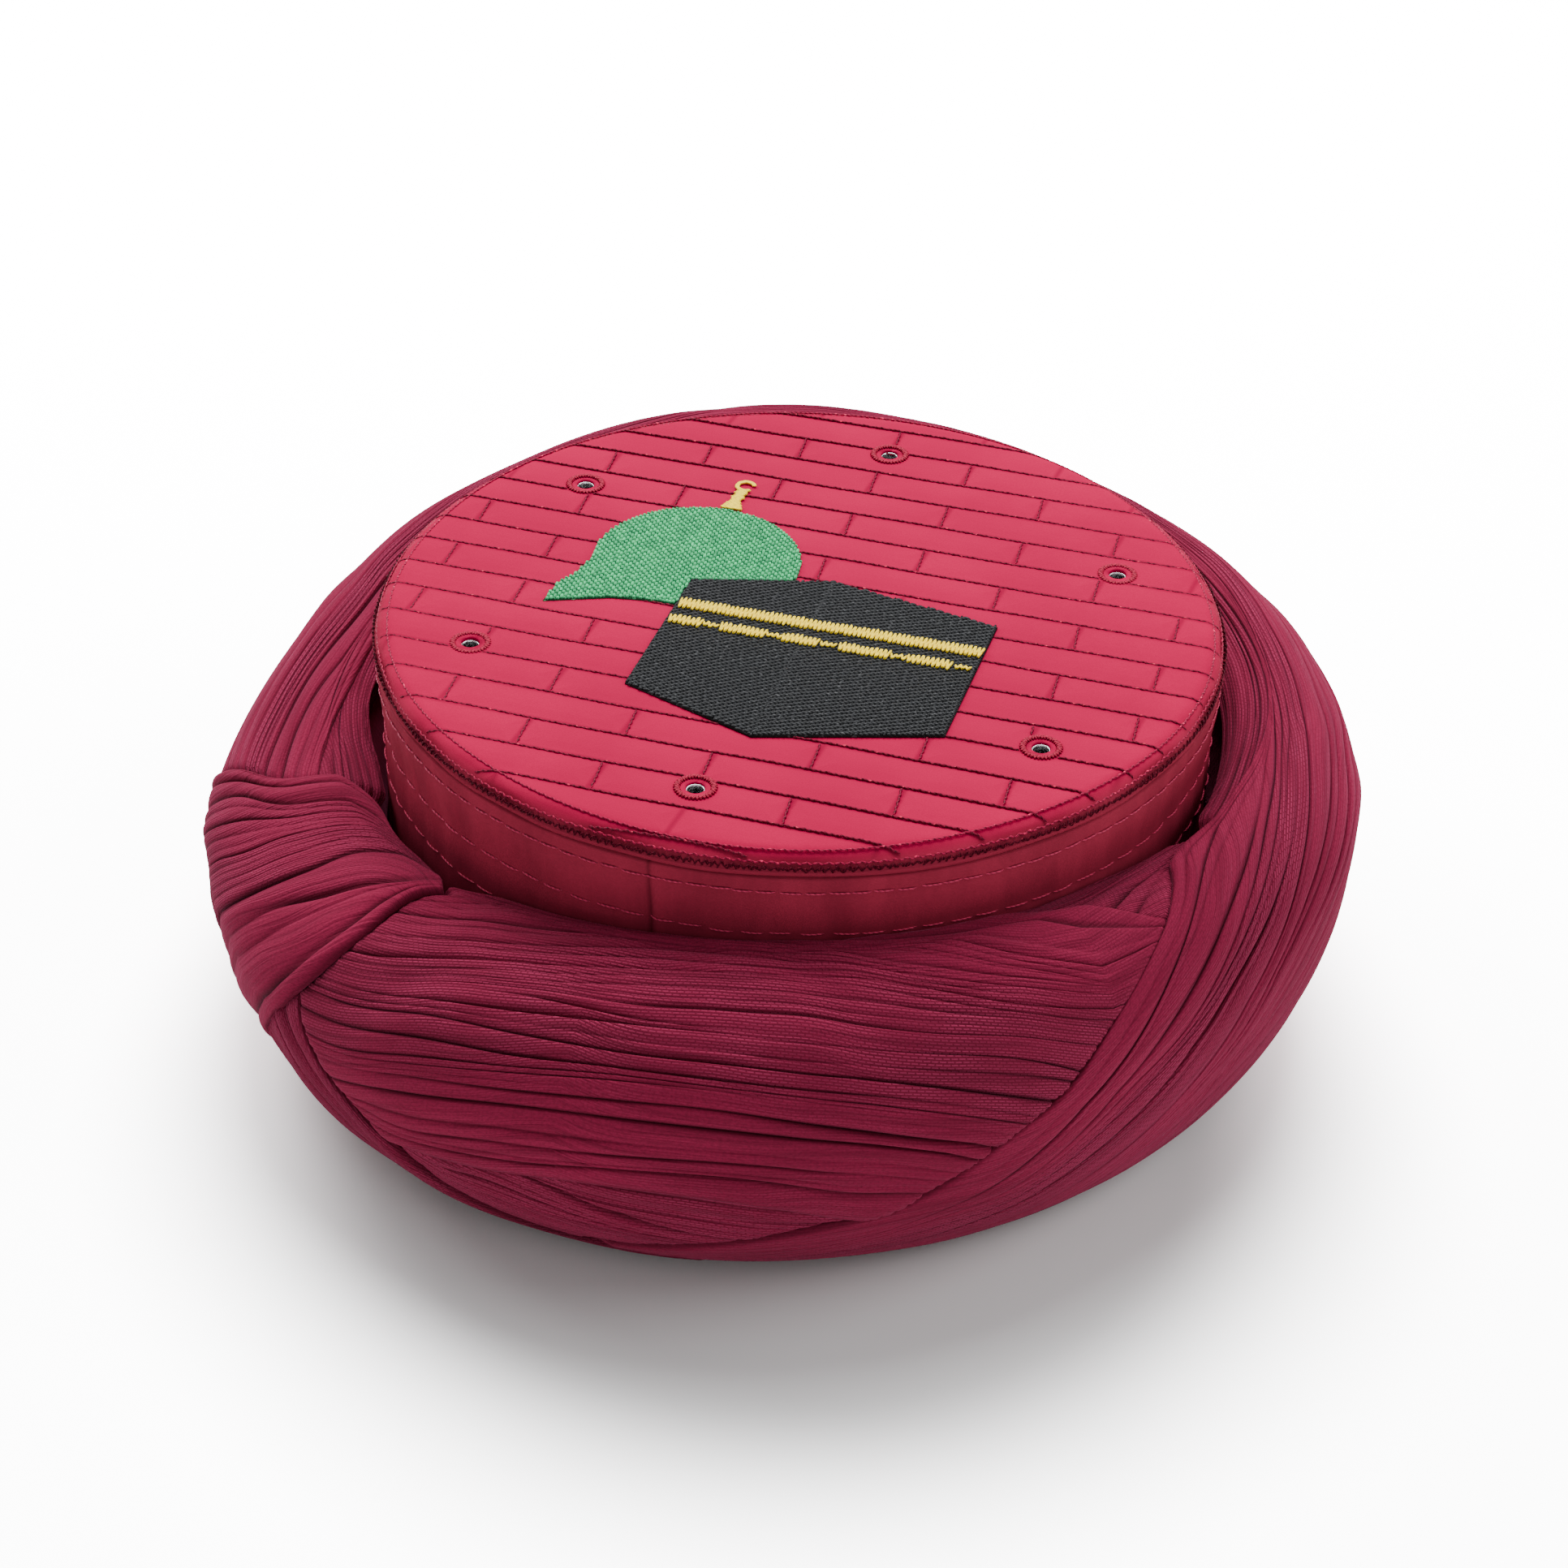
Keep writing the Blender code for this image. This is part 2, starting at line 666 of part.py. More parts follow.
def main():
    for obj in list(bpy.data.objects):
        bpy.data.objects.remove(obj)
    cloth = (0.27, 0.02, 0.07)
    make_cap_top(material_of("cap top cloth", (0.65, 0.07, 0.13), 0.7))
    make_cap_wall(material_of("cap wall cloth", (0.26, 0.015, 0.03), 0.6))
    make_eyelets(material_of("eyelet metal", (0.75, 0.75, 0.76), 0.25, 1.0))
    make_embroidery(
        material_of("green thread", (0.05, 0.32, 0.13), 0.5),
        material_of("black thread", (0.02, 0.022, 0.025), 0.6),
        material_of("gold thread", (0.85, 0.6, 0.13), 0.4),
    )
    make_under_layers(material_of("under layers cloth", cloth, 0.8))
    make_turns(cloth)


main()
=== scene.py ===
"""The looks of a ready-wound turban, laid out as a Blender add-on and run as a script.

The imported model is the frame. The origin is on the floor under the middle of the cap's flat top,
+Z is up and -Y is the front. A place on the wound ring is given by a bearing, which turns round
the cap from +X towards +Y, and a roll, which turns round the ring's own section: -90 on the floor,
0 at the widest point, 90 on the ridge and 180 where the cloth meets the wall.
"""

import math

import bpy
import numpy as np
from mathutils import Matrix


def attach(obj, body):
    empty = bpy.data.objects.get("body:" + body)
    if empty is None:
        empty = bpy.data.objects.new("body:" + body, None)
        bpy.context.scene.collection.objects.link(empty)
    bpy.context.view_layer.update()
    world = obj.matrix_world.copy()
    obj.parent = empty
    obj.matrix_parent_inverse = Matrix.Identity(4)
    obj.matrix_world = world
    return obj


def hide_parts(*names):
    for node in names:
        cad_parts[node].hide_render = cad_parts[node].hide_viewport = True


bl_info = {
    "name": "Wound turban looks",
    "version": (1, 0, 0),
    "blender": (4, 5, 0),
    "location": "View3D > Sidebar > Turban",
    "description": "Pleated turns, stitched cap and embroidery of a ready-wound turban",
    "category": "Add Mesh",
}

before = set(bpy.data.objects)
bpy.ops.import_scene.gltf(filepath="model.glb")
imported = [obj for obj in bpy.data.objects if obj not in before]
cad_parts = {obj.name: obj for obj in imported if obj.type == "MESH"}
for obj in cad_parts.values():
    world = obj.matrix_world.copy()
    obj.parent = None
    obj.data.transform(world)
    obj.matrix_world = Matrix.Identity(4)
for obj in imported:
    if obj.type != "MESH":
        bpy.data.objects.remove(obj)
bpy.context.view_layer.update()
MM = 0.001

# Section of the wound ring, in millimetres, a row for each bearing in degrees
RING_INSIDE = 90
RING_FOOT = 95
RING_COLUMNS = ("bearing", "widest", "widest_z", "ridge", "ridge_z", "edge_z")
RING_ROWS = (
    (-180, 126, 40, 103, 67, 56),
    (-150, 128, 44, 101, 62, 56),
    (-120, 128, 36, 96, 65, 61),
    (-90, 126, 36, 95, 71, 68),
    (-60, 120, 41, 96, 73, 71),
    (-30, 117, 43, 98, 73, 70),
    (0, 122, 54, 102, 74, 60),
    (30, 122, 49, 103, 76, 66),
    (60, 121, 52, 103, 77, 72),
    (90, 124, 52, 103, 82, 74),
    (120, 127, 51, 103, 82.5, 70),
    (150, 128, 48, 104, 75, 62),
)
MIDDLE_RADIUS = 106
MM_PER_BEARING = 1.9
MM_PER_ROLL = 0.46

# Edges of the turns that run round the ring, a row for each bearing
TURN_COLUMNS = ("bearing", "low_roll", "high_roll")
OUTER_ROWS = (
    (-94, -64, -46),
    (-81, -65, -34),
    (-71, -65, -27),
    (-63, -65, -22),
    (-56, -65, -10),
    (-46, -65, 10),
    (-40, -65, 30),
    (-34, -65, 48),
    (-29, -65, 64),
    (-26, -65, 78),
    (-23, -65, 96),
    (-11, -65, 105),
    (12, -65, 97),
    (38, -65, 96),
    (62, -65, 86),
    (90, -65, 88),
    (150, -65, 96),
    (194, -65, 103),
    (201, -65, 91),
    (216, -65, 76),
)
FRONT_ROWS = (
    (-138, -30, 88),
    (-125, -26, 84),
    (-118, -22, 100),
    (-112, -17, 140),
    (-102, -8.5, 168),
    (-95, -3.4, 172),
    (-84, -3.5, 172),
    (-75, -11, 172),
    (-67, -22.5, 172),
    (-56, -34, 172),
    (-48, -42, 150),
    (-40, -48, 104),
    (-30, -54, 62),
    (-20, -57, 40),
)
INNER_ROWS = (
    (-14, 84, 128),
    (0, 86, 150),
    (17, 86, 152),
    (35, 86, 158),
    (60, 78, 168),
    (90, 80, 170),
    (150, 86, 166),
    (180, 90, 140),
    (192, 92, 132),
    (200, 84, 147),
    (206, 76, 165),
    (214, 70, 168),
)
LOWER_ROWS = (
    (-146, -66, -8),
    (-126, -66, 4),
    (-116, -66, -4),
    (-110, -66, -8),
    (-102, -66, -6),
    (-95, -66, -12),
    (-88, -66, -21),
    (-78, -66, -31),
    (-66, -66, -42),
)
MIDDLE_ROWS = (
    (-108, -20, 4),
    (-100, -20, 8),
    (-92, -28, 10),
    (-84, -34, 6),
    (-74, -42, -4),
    (-62, -50, -12),
)

# Edges of the pieces that cross the ring, a row for each step from the outside to the pinch
CROSS_COLUMNS = ("low_bearing", "low_roll", "high_bearing", "high_roll")
SIDE_ROWS = (
    (-142, -62.5, -172, -62.5),
    (-134, -22, -167, -30),
    (-129, 0, -163, 0),
    (-126, 20, -160, 22),
    (-124.1, 36, -156, 46),
    (-122.6, 54, -151, 68),
    (-122.2, 68, -149, 98),
    (-121.8, 78, -142, 121),
    (-120.8, 84, -132, 109),
    (-119, 88, -124, 99),
)
STRIP_ROWS = (
    (-142, 32, -128, 36),
    (-140, 18, -126, 19),
    (-138, 4, -123.5, 2),
    (-136, -10, -119, -10),
    (-132, -24, -114, -19),
    (-126, -37, -110.5, -29),
    (-119, -50, -106, -40),
    (-109, -61, -99, -50),
    (-98, -66, -90, -57),
    (-86, -67, -80, -62),
)
CORNER_ROWS = (
    (-13, 92, -19, 136),
    (-19, 84, -27, 158),
    (-24, 72, -38, 172),
    (-28, 60, -52, 172),
    (-32, 50, -66, 168),
)

# Measured folds, from the low edge up: where each valley lies, how deep it is in tenths of a millimetre, and the
# pleats and share of raised dashes above it. A place is a roll, or for the side fold a share of its width.
FOLD_ALONG = {
    "front_turn": (-130, -120, -110, -100, -90, -80, -70, -60, -50, -40),
    "outer_turn": (-94, -75, -60, -50, -40, -30, -20, -10, 0, 10, 20, 30, 45, 90, 150, 180, 195, 216),
    "side_fold": (0, 1, 2, 3, 4, 5, 6, 7, 8, 9),
}
LOWEST_BAND = {"front_turn": (1, 0.3), "outer_turn": (2, 0.3), "side_fold": (1, 0.05)}
FOLD_ROWS = {
    "front_turn": (
        ((-25, -17, -10.5, -2.2, 4.3, 3, -6.7, -17, -30, -44), (4, 5, 6, 9, 9, 10, 10, 8, 5, 5), 2, 0.2),
        ((-21, -12, -5, 5.7, 9.7, 8.7, 1, -11, -24, -41), (2, 3, 3, 4, 5, 4, 4, 2, 2, 2), 2, 0.1),
        ((-16, -5, 10.5, 20.3, 23.3, 21, 13.2, 0.4, -17, -38), (3, 5, 6, 8, 9, 9, 11, 11, 8, 8), 1, 0.2),
        ((-8, 3, 17.5, 25.6, 29.3, 27.7, 18.7, 4.8, -12, -34), (3, 4, 5, 7, 10, 14, 16, 15, 10, 8), 2, 0.35),
        ((-2, 8.5, 22.5, 31.6, 35.9, 34, 27.2, 15.4, -1, -24), (2, 3, 5, 8, 8, 5, 3, 2, 2, 2), 1, 0.5),
        ((0, 10.5, 25.5, 33.7, 37.7, 35.2, 28.6, 17, 0.5, -21), (4, 8, 9, 9, 8, 13, 16, 14, 8, 8), 1, 0.7),
        ((10, 20.5, 32.7, 37.8, 40.2, 37.7, 31.5, 21, 4.5, -16), (3, 5, 10, 13, 13, 9, 6, 3, 2, 2), 1, 0.9),
        ((19, 29.5, 41.3, 45.3, 45.7, 43.8, 37.4, 27.3, 11.5, -8), (3, 8, 9, 9, 9, 9, 10, 11, 10, 8), 2, 1.0),
        ((26, 36, 47, 52.8, 55.2, 54.2, 48, 40, 28, 5), (3, 4, 7, 13, 9, 3, 4, 7, 8, 8), 1, 1.0),
        ((29, 38.5, 52.5, 58.3, 57.2, 55.6, 50, 42, 30.5, 9), (0, 0, 0, 4, 17, 3, 0, 0, 0, 0), 1, 0.8),
        ((30.5, 40.5, 54.5, 61, 62, 63, 58.5, 47.5, 37, 20), (2, 2, 3, 4, 6, 7, 6, 4, 3, 3), 2, 1.0),
        ((32.5, 42.8, 57, 64.5, 69.5, 70.5, 68, 57, 44, 28), (3, 7, 8, 4, 2, 2, 3, 3, 3, 3), 2, 1.0),
        ((39, 50.3, 65, 72, 76.9, 77.9, 77, 67.3, 50.3, 36), (5, 10, 15, 15, 14, 6, 5, 8, 8, 6), 2, 0.8),
        ((47, 60, 73, 81.6, 88, 88.2, 84.2, 74, 58.7, 41.5), (2, 3, 4, 9, 12, 11, 15, 14, 9, 6), 2, 0.5),
        ((58, 72, 83.5, 90, 97, 98, 93, 80, 64, 45), (3, 9, 10, 7, 4, 3, 3, 4, 4, 4), 2, 0.3),
        ((64, 80, 96, 104, 110, 110, 104, 90, 69.8, 46.5), (2, 3, 4, 4, 4, 4, 5, 6, 9, 10), 2, 0.3),
        ((70, 87, 112, 124, 130, 130, 124, 104, 78, 55), (2, 3, 4, 4, 4, 4, 4, 5, 8, 6), 3, 0.3),
    ),
    "outer_turn": (
        (
            (-59.5, -58, -57, -56, -55, -50, -44, -38, -30, -22, -16, -14, -16, -20, -16, -20, -28, -40),
            (1, 1, 2, 2, 3, 3, 4, 5, 5, 4, 3, 3, 3, 3, 3, 3, 3, 3), 2, 0.3,
        ),
        (
            (-58.5, -55, -53, -52, -43, -30, -20.6, -14, 0, 12, 17, 18, 14, 6, 8, 2, -6, -20),
            (1, 2, 3, 5, 6, 6, 12, 14, 12, 6, 4, 4, 4, 4, 4, 5, 5, 5), 2, 0.3,
        ),
        (
            (-58, -54, -51.5, -50.3, -41, -26, -13, 4, 22, 34, 38, 38, 32, 24, 26, 20, 12, -4),
            (0, 0, 0, 0, 0, 0, 0, 1, 8, 13, 10, 6, 5, 5, 5, 5, 5, 5), 2, 0.3,
        ),
        (
            (-57.5, -53, -50, -48.5, -38, -21, -5, 22.5, 42, 54, 60, 60, 54, 42, 46, 40, 30, 12),
            (1, 2, 5, 8, 9, 6, 8, 9, 6, 3, 2, 3, 4, 5, 5, 5, 6, 6), 2, 0.35,
        ),
        (
            (-56.5, -51.5, -48.5, -47, -33, -17, 4, 38, 60, 71, 76.5, 78, 70, 60, 64, 66, 54, 32),
            (2, 5, 7, 9, 13, 11, 8, 12, 14, 14, 12, 9, 6, 6, 6, 7, 8, 8), 2, 0.9,
        ),
        (
            (-55.5, -49.5, -44.4, -35.6, -20, -1.7, 24, 50, 70, 77, 81, 81.5, 75, 66, 70, 71, 58, 36),
            (3, 8, 10, 12, 16, 17, 14, 3, 1, 1, 6, 4, 4, 5, 5, 7, 9, 10), 1, 1.0,
        ),
        (
            (-54, -47, -37, -29.5, -11, 7, 32, 58, 76, 82, 86.5, 86.5, 79, 70, 74, 75, 61.5, 39),
            (3, 5, 7, 8, 5, 3, 2, 2, 3, 2, 2, 2, 3, 4, 4, 5, 6, 6), 1, 0.9,
        ),
        (
            (-53, -45.5, -35, -27, -8, 10, 36, 62, 80, 86.5, 91, 90, 82, 73.5, 78, 79, 65, 42.5),
            (2, 2, 2, 2, 2, 3, 4, 5, 6, 6, 5, 3, 3, 4, 4, 4, 4, 4), 1, 0.5,
        ),
        (
            (-52, -44, -33, -24.5, -5, 13, 43, 69.5, 83.5, 91.5, 95, 92, 85, 76.5, 84, 82.5, 68.5, 46),
            (2, 2, 3, 3, 3, 4, 5, 10, 12, 11, 12, 12, 10, 8, 8, 13, 13, 10), 1, 0.25,
        ),
        (
            (-51, -42.5, -31, -22, -0.6, 25.6, 53.5, 76, 90, 94.5, 95.7, 94.3, 88, 80, 89, 97, 79, 58),
            (2, 4, 5, 5, 6, 8, 8, 4, 3, 2, 1, 2, 4, 5, 6, 9, 9, 8), 2, 0.3,
        ),
        (
            (-50, -40, -27.5, -14.5, 11, 44.5, 79, 96, 97, 96, 96.2, 95.2, 90.5, 84, 93, 99, 92, 70),
            (3, 8, 10, 12, 12, 11, 11, 8, 3, 1, 1, 1, 3, 4, 5, 5, 5, 5), 2, 0.2,
        ),
    ),
    "side_fold": (
        ((0.055, 0.055, 0.05, 0.05, 0.05, 0.05, 0.045, 0.04, 0.04, 0.06), (5, 6, 7, 7, 6, 6, 5, 4, 4, 3), 2, 0.05),
        ((0.3, 0.3, 0.3, 0.3, 0.3, 0.26, 0.165, 0.09, 0.12, 0.2), (0, 0, 1, 2, 5, 12, 13, 9, 6, 4), 1, 0.3),
        ((0.4, 0.4, 0.4, 0.4, 0.405, 0.42, 0.4, 0.34, 0.38, 0.4), (6, 7, 9, 11, 12, 10, 8, 6, 4, 3), 5, 0.9),
        ((0.6, 0.6, 0.59, 0.59, 0.59, 0.65, 0.6, 0.55, 0.55, 0.55), (4, 5, 7, 8, 8, 7, 6, 5, 4, 3), 5, 0.5),
        ((0.84, 0.84, 0.85, 0.86, 0.87, 0.84, 0.8, 0.8, 0.78, 0.75), (2, 3, 4, 5, 7, 12, 13, 10, 7, 4), 1, 0.2),
        ((0.95, 0.95, 0.955, 0.95, 0.95, 0.95, 0.94, 0.94, 0.93, 0.92), (6, 7, 8, 10, 10, 8, 4, 2, 1, 1), 1, 0.2),
    ),
}
LEAST_GAP = 0.45

# How each turn is pleated where no fold is measured: number of pleats, depth of the deepest valleys in millimetres,
# unevenness of the widths, seed, depth of the face, and share of pleats whose crest lies by their upper valley
PLEAT_ROWS = {
    "outer_turn": (0, 0.5, 0.4, 11, 0.0, 0.9),
    "front_turn": (0, 0.45, 0.35, 23, 0.0, 0.95),
    "inner_turn": (8, 1.5, 0.4, 37, 0.6, 0.5),
    "lower_turn": (10, 1.0, 0.3, 41, 0.6, 0.8),
    "middle_turn": (8, 1.0, 0.3, 53, 0.9, 0.8),
    "corner_tuck": (7, 1.5, 0.3, 61, 0.9, 0.4),
    "side_fold": (0, 0.5, 0.3, 71, -1.2, 0.5),
    "side_strip": (5, 1.2, 0.25, 83, -0.5, 0.5),
}

# Columns of points across one pleat and the extent of its two sides, as shares of its width, and columns across a
# rolled-under edge, in millimetres
PLEAT_PLACES = (0.0, 0.07, 0.2, 0.38, 0.56, 0.74, 0.87, 0.95)
STEEP_PART, GENTLE_PART = 0.14, 0.6
HEM_SIDE = (3.2, 0.9, -0.4, -0.8, -0.5)
HEM_DEPTH = (4.4, 3.0, 2.0, 1.2, 0.45)

# Depths of the valleys where none is measured, as shares of the deepest, and how common each is
VALLEY_GRADES, GRADE_SHARES = (0.3, 0.55, 1.0), (0.42, 0.33, 0.25)
# Lengths in millimetres of the waves along a turn in which its pleats' widths, valleys, measured folds and face swell
WIDTH_BEATS, VALLEY_BEATS, FOLD_BEATS, FACE_BEATS = (260, 120), (190, 85, 40), (70, 33), (150, 70)
# Height of a pleat's crown as a share of its width and at most, and height and spacing of the swells across a face
CROWN_SHARE, CROWN_MOST = 0.08, 0.5
SWELL_HEIGHT, SWELL_SPACING = 0.3, 21
# Depth at which a valley's painted shade is full, and parts of a pleat at its lower and upper end that get painted
# shade
SHADE_DEPTH, SHADE_LOW, SHADE_HIGH = 0.6, 0.16, 0.07

# Millimetres between two rows of points along a turn, in its broad, fine and crossing kinds, and along a border
BROAD_STEP, FINE_STEP, FOLD_STEP, TUCK_STEP, BORDER_STEP = 1.9, 1.3, 1.1, 0.9, 1.0

# How far a turn dives at its ends and under a later turn, over what run, and the deepest that it goes
END_DIVE, END_RUN = 5.0, 5.0
COVER_DIVE, COVER_LEAD, COVER_RUN = 4.4, 1.2, 3.4
DEEPEST = 6.6

# The hidden layers: depth and ends of their face, how far below the turns' edge they meet the wall, radius and
# height of the points under the ring, rolls of the lip beside them, and reach and row spacing of the cloth's UV
UNDER_DEPTH = 7.9
UNDER_ROLLS = (-62, 150)
UNDER_DROP = 12
UNDER_FOOT_ROWS = ((90, 0.3), (90.6, 0), (100.5, 0), (102, 0.7))
UNDER_LIP_ROLLS = (-70, -67, -64)
UNDER_UV = (0.115, 0.0011)

# Cap
TOP_Z = 92.0
TOP_RADIUS = 90.5
TOP_UNDERSIDE = 89.5
SHOULDER = 4.6
WALL_RADIUS = 89.5
PROFILE_COLUMNS = ("radius", "height")
LIP_ROWS = (
    (90.6, 88.2),
    (90.55, 87.6),
    (90.2, 87),
    (89.4, 86.8),
    (88.2, 86.9),
    (87.6, 88),
    (86.5, 89.3),
)
WALL_INSIDE_ROWS = ((89, 87), (87.4, 87), (87, 60), (87, 20), (87, 0.6), (87.4, 0))
EYELET_COUNT = 6
EYELET_CIRCLE = 70.8
EYELET_HOLE = 1.95
EYELET_ROWS = (
    (1.62, 91.2),
    (1.66, 91.5),
    (1.78, 91.6),
    (1.9, 91.5),
    (1.92, 91.2),
    (1.92, 89.1),
    (3.4, 89.1),
    (3.4, 88.75),
    (1.62, 88.7),
    (1.6, 89.2),
)
EYELET_STITCHES = 34
EYELET_THREAD_INNER, EYELET_THREAD_WIDTH = 3.15, 1.15

# Radii of the threads
EYELET_THREAD, EDGE_THREAD, WALL_THREAD, BELT_THREAD, FINIAL_THREAD = 0.2, 0.16, 0.19, 0.29, 0.24

# The wall's seam: its bearing and the millimetres in a degree there; its rows of stitches: height, length of a
# stitch as a share of the running stitch, gap and seed
SEAM_BEARING = -92
WALL_MM_PER_BEARING = 1.56
WALL_STITCH_ROWS = ((82.3, 1, 0.3, 1), (71.8, 1.15, 1.1, 2), (62, 1.2, 1.2, 3))

# Rings of stitches near the top's edge: radius, wander and lean; coils of the edge thread: turns, reach and seed
EDGE_RING_ROWS = ((87.6, 0.75, 2.0), (89.75, 0.1, 0.3))
EDGE_COIL_ROWS = ((470, 0.28, 3), (330, 0.6, 4))

# Stitching on the top: reach of a course and of a joint from the middle, room left round an eyelet, where the
# first course lies, and how the joints are shifted and lean
COURSE_REACH = 89.3
JOINT_REACH = 86
EYELET_ROOM = 4.6
FIRST_COURSE_Y = 82.18
COURSE_COUNT = 18
JOINT_OFFSET = -0.2
JOINT_LEAN = 0.08
PATTERN_BEAT = 1.9

# Motif
CUBE_OUTLINE = ((-25.5, 3), (4, 12), (42, 5.5), (42, -38), (5, -50.5), (-25.5, -40))
DOME_CENTRE = (-27, 11.5)
DOME_RADIUS = 22.7
DOME_ARC = (-5, 196)
DOME_FOOT = ((-50.3, -3), (-52.3, -7), (-52.8, -15), (-46, -12), (-39.5, -9.2), (-33, -7.9))
DOME_END_X = -4.4
CUBE_EDGE_X = 4.5
BELT_EDGES = ((-25, -5.7), (42, -4.6))
BELT_WIDTH = 3.6
BELT_DROP = 7.2
# Starts and ends of the lower belt's runs, and middles of its knots, from the belt's left end
BELT_RUNS = ((0.3, 7.5), (11.6, 21.5), (25.2, 33.0), (37.5, 48.4), (52.3, 61.7))
BELT_KNOTS = (9.5, 23.4, 35.2, 50.4, 64.2)
KNOT_HALF = 1.7
# Filling stitches: height of their backing over the top, distance between two rows, rise and half a width
DOME_BASE, DOME_PITCH, DOME_STITCH = 0.35, 0.72, (0.4, 0.37)
CUBE_BASE, CUBE_PITCH, CUBE_STITCH = 0.42, 0.6, (0.38, 0.33)
FINIAL_BASE_Y = 34.9
FINIAL_COLUMNS = ("height", "middle", "half_width")
FINIAL_ROWS = (
    (0.0, -26.6, 2.6),
    (1.2, -26.8, 2.2),
    (2.6, -26.8, 1.6),
    (4.0, -26.9, 1.15),
    (5.2, -26.8, 1.6),
    (6.2, -26.7, 1.15),
    (7.2, -26.6, 1.55),
    (8.4, -26.6, 1.1),
)
CRESCENT_RADIUS = 1.95
CRESCENT_ARC = (20, 318)

# Stage: lights by name, place and size in metres, and power
FLOOR_SIZE = 60.0
LIGHT_ROWS = (
    ("key light", (-0.15, 0.7, 1.3), 1.1, 38),
    ("front light", (0.5, -1.3, 1.1), 1.4, 4),
    ("left light", (-1.2, 0.55, 0.9), 1.0, 17),
    ("right light", (1.25, 0.4, 0.85), 1.0, 12),
)
LIGHT_TARGET = (0, 0, 0.04)
SKY_LIGHT = 0.36
CAMERA_SENSOR = 36
CAMERA_LENS = 77.47
CAMERA_PLACE = (0.1708, -0.58885, 0.37787 + TOP_Z * MM)
CAMERA_TURN = (55.3614, -1.0105, 17.1177)

# How much brighter than it is the floor shows to the camera, the ring in which this fades in round the object, and
# the middle of that ring; inside the ring the floor is painted darker, a painted shadow
FLOOR_GAIN = 6.5
FLOOR_SHADOW_FADE = (0.085, 0.155)
FLOOR_SHADOW_MIDDLE = (0.015, -0.055)


def colour_field(label, text, value):
    return bpy.props.FloatVectorProperty(
        name=label, description=text, subtype="COLOR", size=3, min=0, max=1, default=value
    )


def length_field(label, text, value):
    return bpy.props.FloatProperty(name=label, description=text, unit="LENGTH", default=value)


class TurbanColours(bpy.types.PropertyGroup):
    """Colours of the cloths, threads and metal."""

    turn: colour_field("Turn cloth", "Crepe muslin of the wound turns", (0.205, 0.011, 0.040))
    # Painted highlight: the colour that the raised threads of the turns are painted with
    turn_light: colour_field("Turn highlights", "Raised threads of the muslin", (0.37, 0.036, 0.10))
    top: colour_field("Top cloth", "Cloth of the flat top", (0.395, 0.002, 0.048))
    wall: colour_field("Wall cloth", "Cloth of the cap wall", (0.262, 0.02, 0.044))
    stitch: colour_field("Pattern thread", "Dark thread of the stitched courses", (0.19, 0.003, 0.027))
    ring: colour_field("Eyelet thread", "Thread round the eyelets", (0.40, 0.012, 0.05))
    running: colour_field("Running thread", "Bright thread on the wall", (0.55, 0.04, 0.11))
    green: colour_field("Green thread", "Thread of the dome", (0.045, 0.42, 0.16))
    black: colour_field("Black thread", "Thread of the cube", (0.011, 0.012, 0.014))
    gold: colour_field("Gold thread", "Thread of the belt and finial", (1.0, 0.73, 0.03))
    metal: colour_field("Eyelet metal", "Plated eyelets", (0.72, 0.73, 0.74))
    floor: colour_field("Floor", "Studio floor and backdrop", (0.93, 0.93, 0.93))


class TurbanSizes(bpy.types.PropertyGroup):
    """Sizes of the stitching and the weave."""

    course: length_field("Course height", "Distance between two stitched courses", 10 * MM)
    joint: length_field("Joint spacing", "Distance between two joints of a course", 39.18 * MM)
    thread: length_field("Thread radius", "Radius of the pattern thread", 0.23 * MM)
    lump: length_field("Thread stitch", "Length of one stitch of the pattern thread", 1.5 * MM)
    running_stitch: length_field("Running stitch", "Length of a stitch on the wall", 4.2 * MM)
    weave_row: length_field("Weave row", "Distance between two rows of raised threads", 0.66 * MM)
    weave_dash: length_field("Weave dash", "Length of a raised thread", 1.5 * MM)
    fill_stitch: length_field("Filling stitch", "Length of an embroidery stitch", 1.8 * MM)


def columns(names, rows):
    """Turns a short table into a dictionary of one array for each named column."""
    return dict(zip(names, np.array(rows, float).T))


def smooth(x, knots, values):
    """Values at x on a cubic curve through the knots, level beyond the last ones."""
    knots, values = np.asarray(knots, float), np.asarray(values, float)
    slopes = np.gradient(values, knots)
    k = np.clip(np.searchsorted(knots, x, side="right") - 1, 0, len(knots) - 2)
    step = knots[k + 1] - knots[k]
    t = np.clip((x - knots[k]) / step, 0, 1)
    start = values[k] * (1 + 2 * t) * (1 - t) ** 2 + slopes[k] * step * t * (1 - t) ** 2
    end = values[k + 1] * t**2 * (3 - 2 * t) + slopes[k + 1] * step * t**2 * (t - 1)
    return start + end


def ease(x):
    """A smooth rise from 0 to 1 while x goes from 0 to 1."""
    x = np.clip(x, 0, 1)
    return x * x * (3 - 2 * x)


def ring_value(bearing, name):
    """A column of the ring's table at any bearing, going on round after the last row."""
    rows = columns(RING_COLUMNS, RING_ROWS)
    lap = np.concatenate([rows["bearing"] - 360, rows["bearing"], rows["bearing"] + 360])
    return smooth((bearing + 180) % 360 - 180, lap, np.tile(rows[name], 3))


